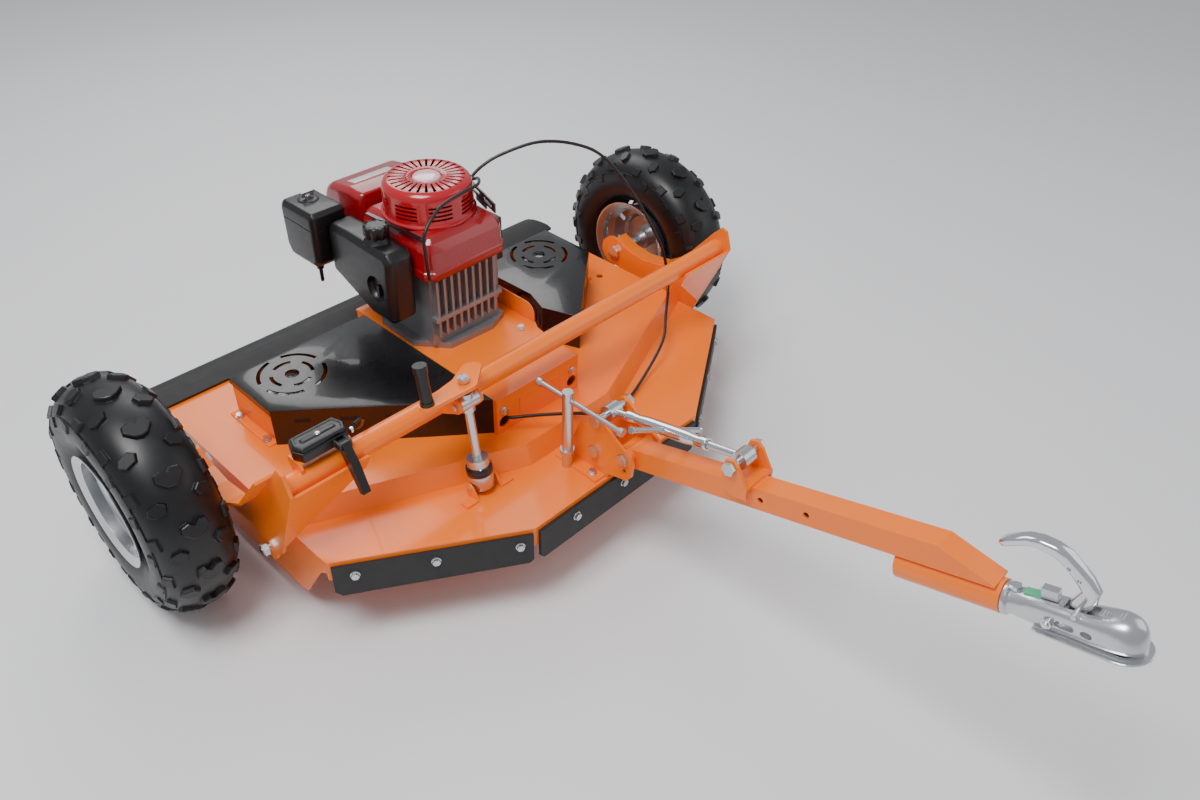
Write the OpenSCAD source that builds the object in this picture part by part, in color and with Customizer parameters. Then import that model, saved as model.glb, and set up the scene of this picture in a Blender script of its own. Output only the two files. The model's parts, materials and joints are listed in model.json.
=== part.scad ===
// Tow-behind rotary brush mower: a three-rotor deck driven by a vertical-shaft petrol
// engine, carried on two knobbly tyres by a hinged lift frame, and towed by an
// adjustable drawbar with a ball coupler.
// Frame: X to the mower's side, -Y towards the tow vehicle, +Z up. The origin is the
// point on the ground midway under the two wheels.

/* [Wheels] */
// Outside diameter of the tyre over its knobs
tyre_od = 559; // [520:1:600]
// Width of the tyre
tyre_w = 178; // [150:1:200]
// Diameter over the rim's flanges
rim_od = 268; // [255:1:285]
// Distance between the two tyres' centre planes
track = 1636; // [1600:1:1700]
// Diameter of the stub axles
axle_d = 25; // [20:1:32]
// Diameter of the circle of wheel nuts
stud_pcd = 110; // [100:1:120]

/* [Deck] */
// Width of the deck over its side walls
deck_w = 1288; // [1240:1:1300]
// Height of the apron's top above the ground
apron_z = 243; // [235:1:250]
// Height of the deck's main plate above the apron
deck_step = 14; // [10:1:20]
// Thickness of the deck's sheet
deck_t = 5; // [3:0.5:8]
// Height of the side walls' lower edge above the ground
skid_z = 58; // [40:1:80]
// Distance from the axle line to the deck's rear edge
deck_rear = 270; // [260:1:300]
// Distance from the axle line to the apron's front edge
deck_front = 643; // [620:1:670]
// Distance from the axle line to the front corners of the side walls
side_front = 412; // [400:1:440]
// Width of the apron's straight front edge
nose_w = 543; // [500:1:600]
// Height of the stiffening rib above the apron
rib_h = 50; // [40:1:60]
// Depth of the rubber skirts
skirt_h = 84; // [60:1:100]
// Thickness of the rubber skirts
skirt_t = 8; // [6:1:12]

/* [Belt drive] */
// Height of the belt covers' top above the ground
cover_z = 357; // [350:1:370]
// Thickness of the belt covers' sheet
cover_t = 3; // [2:0.5:5]
// Sideways distance of the outer rotors
rotor_x = 405; // [400:1:412]
// Distance of the outer rotors behind the axle line
rotor_y = 50; // [45:1:50]
// Distance of the middle rotor ahead of the axle line
mid_rotor_y = 185; // [185:1:200]
// Length of a blade bar from tip to tip
blade_l = 434; // [380:1:440]
// Width of a blade bar
blade_w = 62; // [50:1:80]
// Thickness of a blade bar
blade_t = 8; // [6:1:12]
// Height of the blades' lower face above the ground
blade_z = 84; // [75:1:100]
// Diameter of a rotor spindle
spindle_d = 25; // [20:1:32]
// Diameter of a rotor pulley
pulley_d = 124; // [100:1:130]
// Diameter of the engine pulley
drive_d = 140; // [110:1:145]

/* [Engine] */
// Width of the engine's crankcase
case_w = 236; // [220:1:244]
// Height of the crankcase above its mounting plate
case_h = 205; // [195:1:215]
// Height of the fan shroud
shroud_h = 102; // [95:1:110]
// Diameter of the recoil starter's cover
recoil_d = 214; // [200:1:226]
// Height of the recoil starter's cover above the shroud
recoil_h = 84; // [70:1:95]
// Width of the fuel tank
tank_w = 76; // [60:1:80]
// Length of the fuel tank
tank_l = 243; // [220:1:245]
// Height of the fuel tank
tank_h = 192; // [170:1:200]

/* [Lift frame] */
// Outside diameter of the cross tube
tube_d = 48.4; // [42:0.1:52]
// Height of the cross tube's axis
tube_z = 440; // [436:1:446]
// Distance of the cross tube ahead of the axle line
tube_y = 366; // [360:1:372]
// Thickness of the frame's side plates
arm_t = 8; // [6:1:10]
// Sideways distance of the side plates' middle
arm_x = 680; // [672:1:690]
// Diameter of the height screw
screw_d = 20; // [16:1:22]
// Radius of the crank handle
crank_r = 100; // [80:1:110]

/* [Drawbar] */
// Width of the drawbar's square tube
bar_w = 50; // [45:1:56]
// Wall of the drawbar's square tube
bar_wall = 5; // [3:0.5:6]
// Slope of the drawbar
bar_pitch = 16.9; // [15:0.1:18]
// Length of the square tube
bar_l = 835; // [820:1:860]
// Outside diameter of the swivel tube
swivel_d = 60; // [54:1:62]
// Gap between the head plates
head_gap = 82; // [80:1:88]
// Diameter of the head's pins
pin_d = 16; // [14:1:18]
// Diameter of the ball that the coupler takes
ball_d = 50; // [48:1:50]

/* [Hidden] */
$fn = 48;

// Clearances
run = 0.05;      // running fit of a pin or shaft, on the radius
gap = 0.3;       // free gap between pieces that move past each other
drill = 0.3;     // clearance hole of a fixed bolt, on the radius

wheel_z = tyre_od / 2;
plateau_z = apron_z + deck_step;
half_deck = deck_w / 2;
half_nose = nose_w / 2;
rib_kink_x = 138;                      // where the rib turns from its middle run
rib_kink_y = -(side_front + 71);       // front of the rib's middle run
rib_end_y = -(side_front - 142);       // where the rib meets the side walls
rib_t = 6;
rib_lean = 17;                         // how far the rib's top leans back
platform_t = 6;
platform_top = cover_z;
web_x = 131;                           // outer face of the platform's side webs
beam_front = 370;
beam_back = 318;
cover_rear = 140;
cover_side = 520;
engine_z = platform_top;
case_top = engine_z + case_h;
shroud_top = case_top + shroud_h;
recoil_top = shroud_top + recoil_h;
bolt_d = 10;

// Lift frame's pivot on the deck's side walls, its wheel pin and its screw
pivot_y = -250;
pivot_z = 200;
pivot_d = 20;
screw_x = -270;
foot_y = -468;
foot_z = apron_z + 21;
trunnion_y = -437;
trunnion_z = tube_z + 32;
screw_lean = atan((trunnion_y - foot_y) / (trunnion_z - foot_z));
screw_len = norm([trunnion_y - foot_y, trunnion_z - foot_z]);

// Drawbar: its local frame has +X along the bar, towards the coupler, and +Y up its web
bar_y0 = -707.3;
bar_z0 = 322.1;
bar_rear = 42;                         // tube behind the local origin
bar_pin = [-16, 12];                   // pivot in the drawbar's local frame
link_pin = [283, 72.7];                // turnbuckle's pin in the drawbar's local frame
bar_dir = [-cos(bar_pitch), sin(bar_pitch)];
bar_up = [sin(bar_pitch), cos(bar_pitch)];
function bar_to_yz(p) = [bar_y0, bar_z0] + p[0] * bar_dir + p[1] * bar_up;
pivot3 = bar_to_yz(bar_pin);
link_yz = bar_to_yz(link_pin);
head_pin = [-606, 390];                // turnbuckle's pin on the head, as Y and Z
spacer_pin = [-603, 302];
link_len = norm(link_yz - head_pin);
link_angle = atan2(link_yz[1] - head_pin[1], -(link_yz[0] - head_pin[0]));
swivel_n = -(bar_w + swivel_d) / 2;    // swivel tube's axis below the bar's axis
swivel_s0 = bar_l - bar_rear - 181;
swivel_s1 = bar_l - bar_rear + 7;
slant_s = bar_l - bar_rear - 96;       // where the bar's end starts to slant

// ---- helpers -------------------------------------------------------------

// An outline drawn in Y and Z, as a plate between x and x + t
module slab_yz(pts, x, t) {
  translate([x, 0, 0])
    rotate([90, 0, 90])
      linear_extrude(t)
        polygon(pts);
}

// An outline drawn in X and Z, as a plate between y and y + t
module slab_xz(pts, y, t) {
  translate([0, y + t, 0])
    rotate([90, 0, 0])
      linear_extrude(t)
        polygon(pts);
}

// A rod along X
module rod_x(r, x0, x1, y, z) {
  translate([x0, y, z])
    rotate([0, 90, 0])
      cylinder(r = r, h = x1 - x0);
}

// A rod along Y
module rod_y(r, y0, y1, x, z) {
  translate([x, y0, z])
    rotate([-90, 0, 0])
      cylinder(r = r, h = y1 - y0);
}

// A rod along Z
module rod_z(r, z0, z1, x, y) {
  translate([x, y, z0])
    cylinder(r = r, h = z1 - z0);
}

// A closed outline moved inwards by d: corner points are mitred
function mitre(a, b, c, d) =
  let (u = (b - a) / norm(b - a), v = (c - b) / norm(c - b),
       n = [-u[1], u[0]], m = [-v[1], v[0]])
  b + d * (n + m) / (1 + n * m);
function inset(p, d) = [
  for (i = [0 : len(p) - 1])
    mitre(p[(i + len(p) - 1) % len(p)], p[i], p[(i + 1) % len(p)], d)
];

// A rectangle with round corners, from (x0, y0) to (x1, y1)
module round_rect(x0, y0, x1, y1, r) {
  translate([x0 + r, y0])
    square([x1 - x0 - 2 * r, y1 - y0]);
  translate([x0, y0 + r])
    square([x1 - x0, y1 - y0 - 2 * r]);
  for (x = [x0 + r, x1 - r], y = [y0 + r, y1 - r])
    translate([x, y])
      circle(r);
}

// Mirrored copies on both sides of the mower
module both_sides() {
  children();
  mirror([1, 0, 0])
    children();
}

// A hexagon bolt head and washer on a face at z = 0, with its shank below
module bolt(d, shank) {
  cylinder(r = d * 1.05, h = d * 0.2);
  cylinder(r = d * 0.9, h = d * 0.85, $fn = 6);
  translate([0, 0, -shank])
    cylinder(r = d / 2, h = shank + 1);
}

// An arc-shaped slot outline between two angles
function arc(r, a0, a1, n) = [for (i = [0 : n]) r * [cos(a0 + (a1 - a0) * i / n), sin(a0 + (a1 - a0) * i / n)]];
function reversed(p) = [for (i = [len(p) - 1 : -1 : 0]) p[i]];
function arc_slot(r, w, a0, a1) = concat(arc(r + w / 2, a0, a1, 8), reversed(arc(r - w / 2, a0, a1, 8)));

// ---- deck ----------------------------------------------------------------

rib_line = [
  [-half_deck, rib_end_y], [-rib_kink_x, rib_kink_y], [rib_kink_x, rib_kink_y], [half_deck, rib_end_y]
];
apron_front = [
  [half_deck, -side_front], [half_nose, -deck_front], [-half_nose, -deck_front], [-half_deck, -side_front]
];
side_profile = [
  [deck_rear, plateau_z - 1], [deck_rear, skid_z + 12], [deck_rear - 12, skid_z], [-270, skid_z],
  [-300, skid_z + 10], [-side_front + 32, apron_z - 53], [-side_front, apron_z - 30],
  [-side_front, apron_z - 1], [rib_end_y, apron_z - 1], [rib_end_y, plateau_z - 1]
];
spindle_spots = [[-rotor_x, rotor_y], [0, -mid_rotor_y], [rotor_x, rotor_y]];
flange_h = 16;                         // down-turned flange along the apron's edges
housing_r = 34;                        // barrel of a spindle housing
housing_flange_r = 62;

// A straight strip of plate standing along a line in plan
module strip(p0, p1, t, z0, z1) {
  d = p1 - p0;
  translate([p0[0], p0[1], z0])
    rotate(atan2(d[1], d[0]))
      cube([norm(d), t, z1 - z0]);
}

facet_angle = atan2(deck_front - side_front, half_deck - half_nose);
facet_l = norm([half_deck - half_nose, deck_front - side_front]);
skirt_bolt_z = apron_z - 38;
facet_bolt_s = [54, 222, facet_l - 36];
nose_bolt_x = [-155, 0, 155];

// Things placed along the left facet: local +X runs from the side to the nose,
// and local -Y points out of the deck
module on_left_facet() {
  translate([-half_deck, -side_front, 0])
    rotate(-facet_angle)
      children();
}

module skirt_bolt_holes(r) {
  both_sides()
    on_left_facet()
      for (s = facet_bolt_s)
        rod_y(r, -40, 40, s, skirt_bolt_z);
  for (x = nose_bolt_x)
    rod_y(r, -deck_front - 40, -deck_front + 40, x, skirt_bolt_z);
}

trim = 1;                              // sheets stop short of the outer faces they join
step_set = 0.5;
nose_in = deck_t * tan(facet_angle / 2);
function facet_y(x) = (x - half_nose) * tan(facet_angle) - deck_front;
module deck_shell() {
  color("darkorange")
    difference() {
      union() {
        translate([0, 0, apron_z - deck_t])
          linear_extrude(deck_t)
            polygon(concat([for (p = rib_line) p + [0, step_set + 2]], apron_front));
        translate([0, 0, plateau_z - deck_t])
          linear_extrude(deck_t)
            polygon(concat(reversed(rib_line), [[-half_deck, deck_rear], [half_deck, deck_rear]]));
        // the step between the two levels
        translate([0, 0, apron_z - deck_t + 1])
          linear_extrude(plateau_z - apron_z + deck_t - 2)
            polygon(concat(
              [for (p = rib_line) p + [-sign(p[0]) * trim, step_set]],
              [for (p = reversed(rib_line)) p + [-sign(p[0]) * trim, step_set + 1.2 * deck_t]]
            ));
        // fascia round the front
        translate([0, 0, apron_z - 52])
          linear_extrude(51)
            polygon([
              [trim - half_deck, facet_y(half_deck - trim)], [-half_nose, -deck_front],
              [half_nose, -deck_front], [half_deck - trim, facet_y(half_deck - trim)],
              [half_deck - trim, facet_y(half_deck - trim) + deck_t / cos(facet_angle)],
              [half_nose - nose_in, deck_t - deck_front], [nose_in - half_nose, deck_t - deck_front],
              [trim - half_deck, facet_y(half_deck - trim) + deck_t / cos(facet_angle)]
            ]);
        both_sides() {
          slab_yz(side_profile, -half_deck, deck_t);
          slab_yz([[deck_rear - 60, skid_z], [-270, skid_z], [-270, skid_z + 8], [deck_rear - 60, skid_z + 8]],
            -half_deck, 32);
        }
        translate([trim - half_deck, deck_rear - deck_t - 1, plateau_z - 60])
          cube([deck_w - 2 * trim, deck_t, 59]);
      }
      for (s = spindle_spots)
        rod_z(housing_r + 1, plateau_z - 40, plateau_z + 20, s[0], s[1]);
      for (s = spindle_spots, a = [45 : 90 : 315])
        rod_z(5 + drill, plateau_z - 40, plateau_z + 20, s[0] + 48 * cos(a), s[1] + 48 * sin(a));
      rod_z(10, plateau_z - 40, plateau_z + 20, 566, -40);
      both_sides()
        for (p = wall_bolts)
          rod_z(5 + drill, plateau_z - 10, plateau_z + 20, p[0], p[1]);
      both_sides()
        rod_x(pivot_d / 2 + drill, -half_deck - 5, -half_deck + 40, pivot_y, pivot_z);
      skirt_bolt_holes(bolt_d / 2 + drill);
      rod_z(lock_d / 2 + run, apron_z - 20, apron_z + 20, lock_x, lock_y);
    }
}

// The rib: a plate that starts on the apron and leans back over the deck's step,
// along each run of the rib line
rib_top = apron_z + rib_h;
rib_profile = [
  [-rib_t - 2, apron_z + gap / 3], [-gap, apron_z + gap / 3], [-gap, plateau_z + gap / 3],
  [3, plateau_z + gap / 3], [rib_lean - 2, rib_top - 4], [rib_lean - 6, rib_top]
];
module rib_run(p0, p1) {
  d = p1 - p0;
  translate([p0[0], p0[1], 0])
    rotate(atan2(d[1], d[0]))
      rotate([90, 0, 90])
        linear_extrude(norm(d))
          polygon(rib_profile);
}
// The part of space between two X values
module between_x(x0, x1) {
  translate([x0, -900, 0])
    cube([x1 - x0, 900, 400]);
}
module apron_rib() {
  inner = half_deck - deck_t - gap / 3;
  past = 1.2;                          // runs a little past the kink, to be cut to the mitre
  color("darkorange") {
    intersection() {
      rib_run(rib_line[0], rib_line[0] + past * (rib_line[1] - rib_line[0]));
      between_x(-inner, -rib_kink_x);
    }
    rib_run(rib_line[1], rib_line[2]);
    intersection() {
      rib_run(rib_line[3] + past * (rib_line[2] - rib_line[3]), rib_line[3]);
      between_x(rib_kink_x, inner);
    }
  }
}

module rubber_skirts() {
  z0 = apron_z - 12 - skirt_h;
  color("#1b1b1d")
    difference() {
      union() {
        both_sides()
          on_left_facet()
            translate([0, -gap / 3, 0])
              rotate([90, 0, 0])
                linear_extrude(skirt_t)
                  polygon([
                    [8, z0 + 14], [22, z0], [facet_l - 16, z0], [facet_l - 6, z0 + 10],
                    [facet_l - 6, z0 + skirt_h], [8, z0 + skirt_h]
                  ]);
        translate([0, -deck_front - gap / 3, 0])
          rotate([90, 0, 0])
            linear_extrude(skirt_t)
              polygon([
                [-half_nose + 8, z0 + 10], [-half_nose + 18, z0], [half_nose - 18, z0],
                [half_nose - 8, z0 + 10], [half_nose - 8, z0 + skirt_h], [-half_nose + 8, z0 + skirt_h]
              ]);
      }
      skirt_bolt_holes(bolt_d / 2 + drill);
    }
}

// The rear flap: a rubber sheet clamped on the deck's rear edge, which arches over
// it and hangs behind
flap_t = 8;
flap_drop = 150;
function flap_mid(t) = [
  deck_rear - 8 + 130 * sin(90 * t),
  plateau_z + flap_t / 2 + gap + 22 * sin(150 * t) - flap_drop * pow(t, 3)
];
flap_path = [for (i = [0 : 12]) flap_mid(i / 12)];
function path_normal(p, i) =
  let (d = p[min(i + 1, len(p) - 1)] - p[max(i - 1, 0)])
  [-d[1], d[0]] / norm(d);
function band(p, t) = concat(
  [for (i = [0 : len(p) - 1]) p[i] + path_normal(p, i) * t / 2],
  reversed([for (i = [0 : len(p) - 1]) p[i] - path_normal(p, i) * t / 2])
);
module rear_flap() {
  color("#2a2b2b")
    intersection() {
      slab_yz(band(flap_path, flap_t), -half_deck - 16, deck_w + 32);
      translate([0, 0, plateau_z + gap])
        union() {
          linear_extrude(80)
            polygon([
              [-half_deck - 16, deck_rear - 12], [half_deck + 16, deck_rear - 12],
              [half_deck + 16, deck_rear + 10], [half_deck - 44, deck_rear + 170],
              [-half_deck + 44, deck_rear + 170], [-half_deck - 16, deck_rear + 10]
            ]);
          translate([-half_deck - 16, deck_rear + 4, -300])
            cube([deck_w + 32, 170, 300]);
        }
    }
}

// ---- belt covers, walls and engine platform --------------------------------

wall_t = 4;
cover_out = [
  [-cover_side, cover_rear], [-cover_side, -37], [-257, -258], [-134, -beam_front + 12],
  [-134, cover_rear]
];
foot_t = 4;                            // foot strip along the outer wall
wall_bolts = [[-cover_side - 8, -10], [-cover_side - 8, 110]];
wall_line = [
  [-cover_side + 4, cover_rear - 2], [-cover_side + 4, -35], [-256, -255], [-140, -350],
  [-136, cover_rear - 2]
];

module cover_plate() {
  cover_z0 = cover_z - cover_t;
  hub = [-rotor_x, rotor_y];
  translate([0, 0, cover_z0])
    difference() {
      linear_extrude(cover_t)
        polygon(cover_out);
      translate([hub[0], hub[1], -1])
        for (ring = [[78, 40], [52, 52]], k = [0 : 3])
          linear_extrude(cover_t + 2)
            polygon(arc_slot(ring[0], 9, k * 90 + 10 + ring[1] / 2, k * 90 + 90 - ring[1] / 4));
      rod_z(17, -1, cover_t + 1, hub[0], hub[1]);
    }
  translate([0, 0, cover_z - 16])
    linear_extrude(16 - 0.5)
      difference() {
        polygon(cover_out);
        polygon(inset(cover_out, cover_t));
      }
}

module belt_cover_left() {
  color("#0f0d10")
    cover_plate();
}

guard_h = 46;
guard_l = 176;
guard_r = 30;
module belt_cover_right() {
  color("#0f0d10") {
    mirror([1, 0, 0])
      cover_plate();
  }
}

// Upright guard beside the engine, with round top corners and a foot on the cover
module engine_guard() {
  color("darkorange")
    translate([214, -10, cover_z + gap / 3])
      rotate([0, 0, -107]) {
        rotate([90, 0, 0])
          linear_extrude(3)
            polygon(concat(
              [[0, 0]],
              [for (p = arc(guard_r, 180, 90, 8)) p + [guard_r, guard_h - guard_r]],
              [for (p = arc(guard_r, 90, 0, 8)) p + [guard_l - guard_r, guard_h - guard_r]],
              [[guard_l, 0]]
            ));
        translate([guard_r, -3, 0])
          cube([guard_l - 2 * guard_r, 18, 3]);
      }
}

module cover_walls() {
  z1 = cover_z - 16 - gap;
  color("darkorange")
    both_sides()
      difference() {
        union() {
          translate([0, 0, plateau_z + gap / 3])
            linear_extrude(z1 - plateau_z - gap / 3)
              difference() {
                polygon(wall_line);
                polygon(inset(wall_line, wall_t));
                translate([-146, -330])
                  square([20, cover_rear + 320]);
              }
          translate([-cover_side - 18, -50, plateau_z + gap / 3])
            cube([24, 188, foot_t]);
        }
        // vent slots in the sloping front wall
        translate([-cover_side + 4, -35, 0])
          rotate(atan2(-220, 260))
            for (k = [0 : 3])
              translate([70 + k * 56, -20, plateau_z + 34])
                cube([38, 40, 10]);
        for (p = wall_bolts)
          rod_z(5 + drill, plateau_z - 10, plateau_z + 20, p[0], p[1]);
      }
}

notch_r = 15;
module front_beam() {
  z0 = plateau_z + gap / 3;
  color("darkorange")
    difference() {
      translate([-134, -beam_front, z0])
        cube([268, beam_front - beam_back, platform_top - z0]);
      translate([-134 + wall_t, -beam_front + wall_t, z0 - 1])
        cube([268 - 2 * wall_t, beam_front - beam_back, platform_top - z0 - wall_t + 1]);
      for (x = [-112, 112])
        rod_y(notch_r, -beam_front - 10, -beam_front + 20, x, plateau_z + 30);
      for (x = [-112, 112])
        rod_y(5 + drill, -beam_front - 10, -beam_front + 20, x, plateau_z + 62);
    }
  // blank plate on the beam's face
  color("darkorange")
    translate([-62, -beam_front - 1.5, plateau_z + 26])
      cube([124, 1.6, 46]);
}

mount_pcd = 196;
mount_angles = [40, 140, 220, 320];
module engine_platform() {
  color("darkorange")
    difference() {
      union() {
        translate([0, 0, platform_top - platform_t])
          linear_extrude(platform_t)
            polygon([
              [-133, -beam_back + gap / 3], [133, -beam_back + gap / 3], [133, -60], [133, 176],
              [-133, 176]
            ]);
        both_sides()
          translate([-web_x, -beam_back + gap / 3, plateau_z + gap / 3])
            cube([wall_t, 176 + beam_back - gap / 3, platform_top - plateau_z - 1]);
        translate([-web_x, 172, plateau_z + gap / 3])
          cube([2 * web_x, wall_t, platform_top - plateau_z - 1]);
      }
      rod_z(40, platform_top - 20, platform_top + 20, 0, 0);
      for (a = mount_angles)
        rod_z(5 + drill, platform_top - 20, platform_top + 20, mount_pcd / 2 * cos(a), mount_pcd / 2 * sin(a));
      rod_z(5 + drill, platform_top - 20, platform_top + 20, 112, -190);
      // windows for the belts to the outer rotors
      for (x = [-1, 1])
        translate([x * web_x - 20, -drive_d / 2, belt_z[1] - pulley_h / 2 - 4])
          cube([40, drive_d + 36, belt_z[2] - belt_z[1] + pulley_h + 8]);
    }
}

// ---- rotors and belts ------------------------------------------------------

pulley_h = 18;
// Belt levels: middle, left and right rotor
belt_z = [cover_z - 69, cover_z - 49, cover_z - 29];
groove = 7;                            // depth of a pulley's groove
belt_h = 8;                            // height of a belt
module pulley(d, z) {
  translate([0, 0, z - pulley_h / 2])
    rotate_extrude()
      polygon([
        [0, 0], [d / 2, 0], [d / 2, (pulley_h - belt_h) / 2 - 1],
        [d / 2 - groove, (pulley_h - belt_h) / 2 - gap], [d / 2 - groove, (pulley_h + belt_h) / 2 + gap],
        [d / 2, (pulley_h + belt_h) / 2 + 1], [d / 2, pulley_h], [0, pulley_h]
      ]);
}

rotor_foot = blade_z + blade_t;
module rotor(spot, level) {
  translate([spot[0], spot[1], 0]) {
    rod_z(spindle_d / 2, rotor_foot + 1, level + pulley_h / 2 + 12, 0, 0);
    pulley(pulley_d, level);
    rod_z(20, level + pulley_h / 2 - 1, level + pulley_h / 2 + 8, 0, 0);
    // blade carrier under the housing, and the nut under the blade
    rod_z(42, rotor_foot + gap / 3, rotor_foot + 12, 0, 0);
  }
}
module rotor_left() { color("silver") rotor(spindle_spots[0], belt_z[1]); }
module rotor_middle() { color("silver") rotor(spindle_spots[1], belt_z[0]); }
module rotor_right() { color("silver") rotor(spindle_spots[2], belt_z[2]); }

blade_turn = [20, 100, -35];           // where each blade bar has stopped
// One edge of a blade bar and one ground tip; the other half is the same, turned
blade_half = [
  [-blade_l / 2 + 90, -blade_w / 2], [blade_l / 2 - 6, -blade_w / 2], [blade_l / 2, -blade_w / 2 + 8],
  [blade_l / 2 - 12, blade_w / 2 - 14]
];
module blade(spot, turn) {
  translate([spot[0], spot[1], blade_z])
    rotate(turn) {
      linear_extrude(blade_t)
        polygon(concat(blade_half, -blade_half));
      translate([0, 0, -14])
        cylinder(r = 18, h = 15, $fn = 6);
    }
}
module blade_left() { color("#8a8d90") blade(spindle_spots[0], blade_turn[0]); }
module blade_middle() { color("#8a8d90") blade(spindle_spots[1], blade_turn[1]); }
module blade_right() { color("#8a8d90") blade(spindle_spots[2], blade_turn[2]); }

module spindle_housings() {
  color("#55585c")
    for (s = spindle_spots)
      translate([s[0], s[1], 0])
        difference() {
          union() {
            rod_z(housing_r, rotor_foot + 12 + gap, plateau_z + 1, 0, 0);
            rod_z(housing_flange_r, plateau_z + gap / 3, plateau_z + 7, 0, 0);
          }
          rod_z(spindle_d / 2 + run, 0, plateau_z + 40, 0, 0);
          for (a = [45 : 90 : 315])
            rod_z(5 + drill, plateau_z - 10, plateau_z + 20, 48 * cos(a), 48 * sin(a));
        }
}

// A belt: the loop between two pulleys, as a band with straight runs
module belt_loop(p0, r0, p1, r1, z) {
  t = 8;
  d = norm(p1 - p0);
  a = atan2(p1[1] - p0[1], p1[0] - p0[0]);
  b = asin((r0 - r1) / d);
  function loop(e) = concat(
    arc(r0 + e, 90 - b, 270 + b, 24),
    [for (q = arc(r1 + e, b - 90, 90 - b, 24)) q + [d, 0]]
  );
  translate([p0[0], p0[1], z - belt_h / 2])
    rotate(a)
      linear_extrude(belt_h)
        difference() {
          polygon(loop(t));
          polygon(loop(0));
        }
}
module drive_belts() {
  r0 = drive_d / 2 - groove + gap;
  r1 = pulley_d / 2 - groove + gap;
  color("#202022") {
    belt_loop([0, 0], r0, spindle_spots[1], r1, belt_z[0]);
    belt_loop([0, 0], r0, spindle_spots[0], r1, belt_z[1]);
    belt_loop([0, 0], r0, spindle_spots[2], r1, belt_z[2]);
  }
}

module crankshaft() {
  color("#9a9da0") {
    rod_z(14, belt_z[0] - 18, recoil_top - 40, 0, 0);
    for (z = belt_z)
      pulley(drive_d, z);
    rod_z(24, belt_z[0] - 8, belt_z[2] + 8, 0, 0);
    // flywheel and its cooling fan
    rod_z(82, shroud_top - 40, shroud_top - 8, 0, 0);
    for (a = [0 : 30 : 330])
      rotate(a)
        translate([40, -2, shroud_top - 9])
          cube([48, 4, 22]);
    rod_z(36, shroud_top - 9, shroud_top + 24, 0, 0);
  }
}

// ---- engine ----------------------------------------------------------------

half_case = case_w / 2;
case_front = 128;
case_rear = 132;
shroud_front = 142;
module engine_crankcase() {
  fins = 9;
  fin_pitch = 22;
  color("#7f8388")
    difference() {
      union() {
        translate([0, 0, engine_z])
          linear_extrude(16)
            polygon([
              [-half_case - 12, -60], [-70, -case_front - 8], [60, -case_front - 14], [half_case, -case_front + 10],
              [half_case + 6, 60], [70, case_rear], [-80, case_rear], [-half_case - 8, 70]
            ]);
        translate([-half_case + 14, -case_front + 16, engine_z + 15])
          cube([case_w - 28, case_front + case_rear - 36, case_h - 15]);
        for (k = [0 : fins - 1])
          translate([-half_case + 22 + k * fin_pitch, -case_front, engine_z + 40])
            cube([7, 24, case_h - 50]);
        translate([-half_case + 14, -case_front - 2, engine_z + 84])
          cube([case_w - 28, 26, 12]);
        // cylinder block and its fins, lying towards the rear
        for (k = [0 : 7])
          translate([-92, case_rear - 24 + k * 18, engine_z + 60])
            cube([184, 8, case_h - 66]);
        translate([-70, case_rear - 30, engine_z + 74])
          cube([140, 150, case_h - 90]);
        // oil filler at the front right
        translate([half_case - 14, -case_front + 30, engine_z + 60]) {
          cylinder(r = 13, h = case_h + 44 - 60);
          translate([0, 0, case_h + 44 - 61])
            cylinder(r = 17, h = 26);
        }
      }
      rod_z(14 + run, engine_z - 5, case_top + 5, 0, 0);
      for (a = mount_angles)
        rod_z(5 + drill, engine_z - 5, engine_z + 40, mount_pcd / 2 * cos(a), mount_pcd / 2 * sin(a));
      for (a = mount_angles)
        rod_z(13, engine_z + 16, engine_z + 34, mount_pcd / 2 * cos(a), mount_pcd / 2 * sin(a));
    }
}

module engine_shroud() {
  color("#a3121c")
    difference() {
      union() {
        translate([0, 0, case_top + gap / 3])
          linear_extrude(shroud_h - 24)
            polygon([
              [-half_case - 4, -shroud_front + 14], [-half_case + 12, -shroud_front], [half_case - 12, -shroud_front],
              [half_case + 4, -shroud_front + 14], [half_case + 4, 112], [106, 136], [-106, 136],
              [-half_case - 4, 112]
            ]);
        translate([0, 0, case_top + shroud_h - 25])
          linear_extrude(25)
            polygon([
              [-half_case + 8, -shroud_front + 26], [-half_case + 24, -shroud_front + 12],
              [half_case - 24, -shroud_front + 12], [half_case - 8, -shroud_front + 26],
              [half_case - 8, 90], [76, 124], [-76, 124], [-half_case + 8, 90]
            ]);
      }
      rod_z(96, case_top + 3, shroud_top + 10, 0, 0);
      rod_z(15 + run, case_top - 5, case_top + 10, 0, 0);
      // room for the oil filler's neck
      rod_z(18 + gap, case_top - 5, shroud_top + 10, half_case - 14, -case_front + 30);
    }
}

module cylinder_cowl() {
  y0 = 136 + gap / 3;
  color("#a3121c")
    difference() {
      union() {
        slab_yz([
          [y0, case_top + gap / 3], [262, case_top + gap / 3], [298, case_top + 30], [298, case_top + 92],
          [270, shroud_top + 8], [180, shroud_top + 22], [y0, shroud_top + 16]
        ], -104, 208);
      }
      translate([-96, y0 - 1, case_top - 1])
        cube([192, 150, 92]);
    }
}

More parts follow.
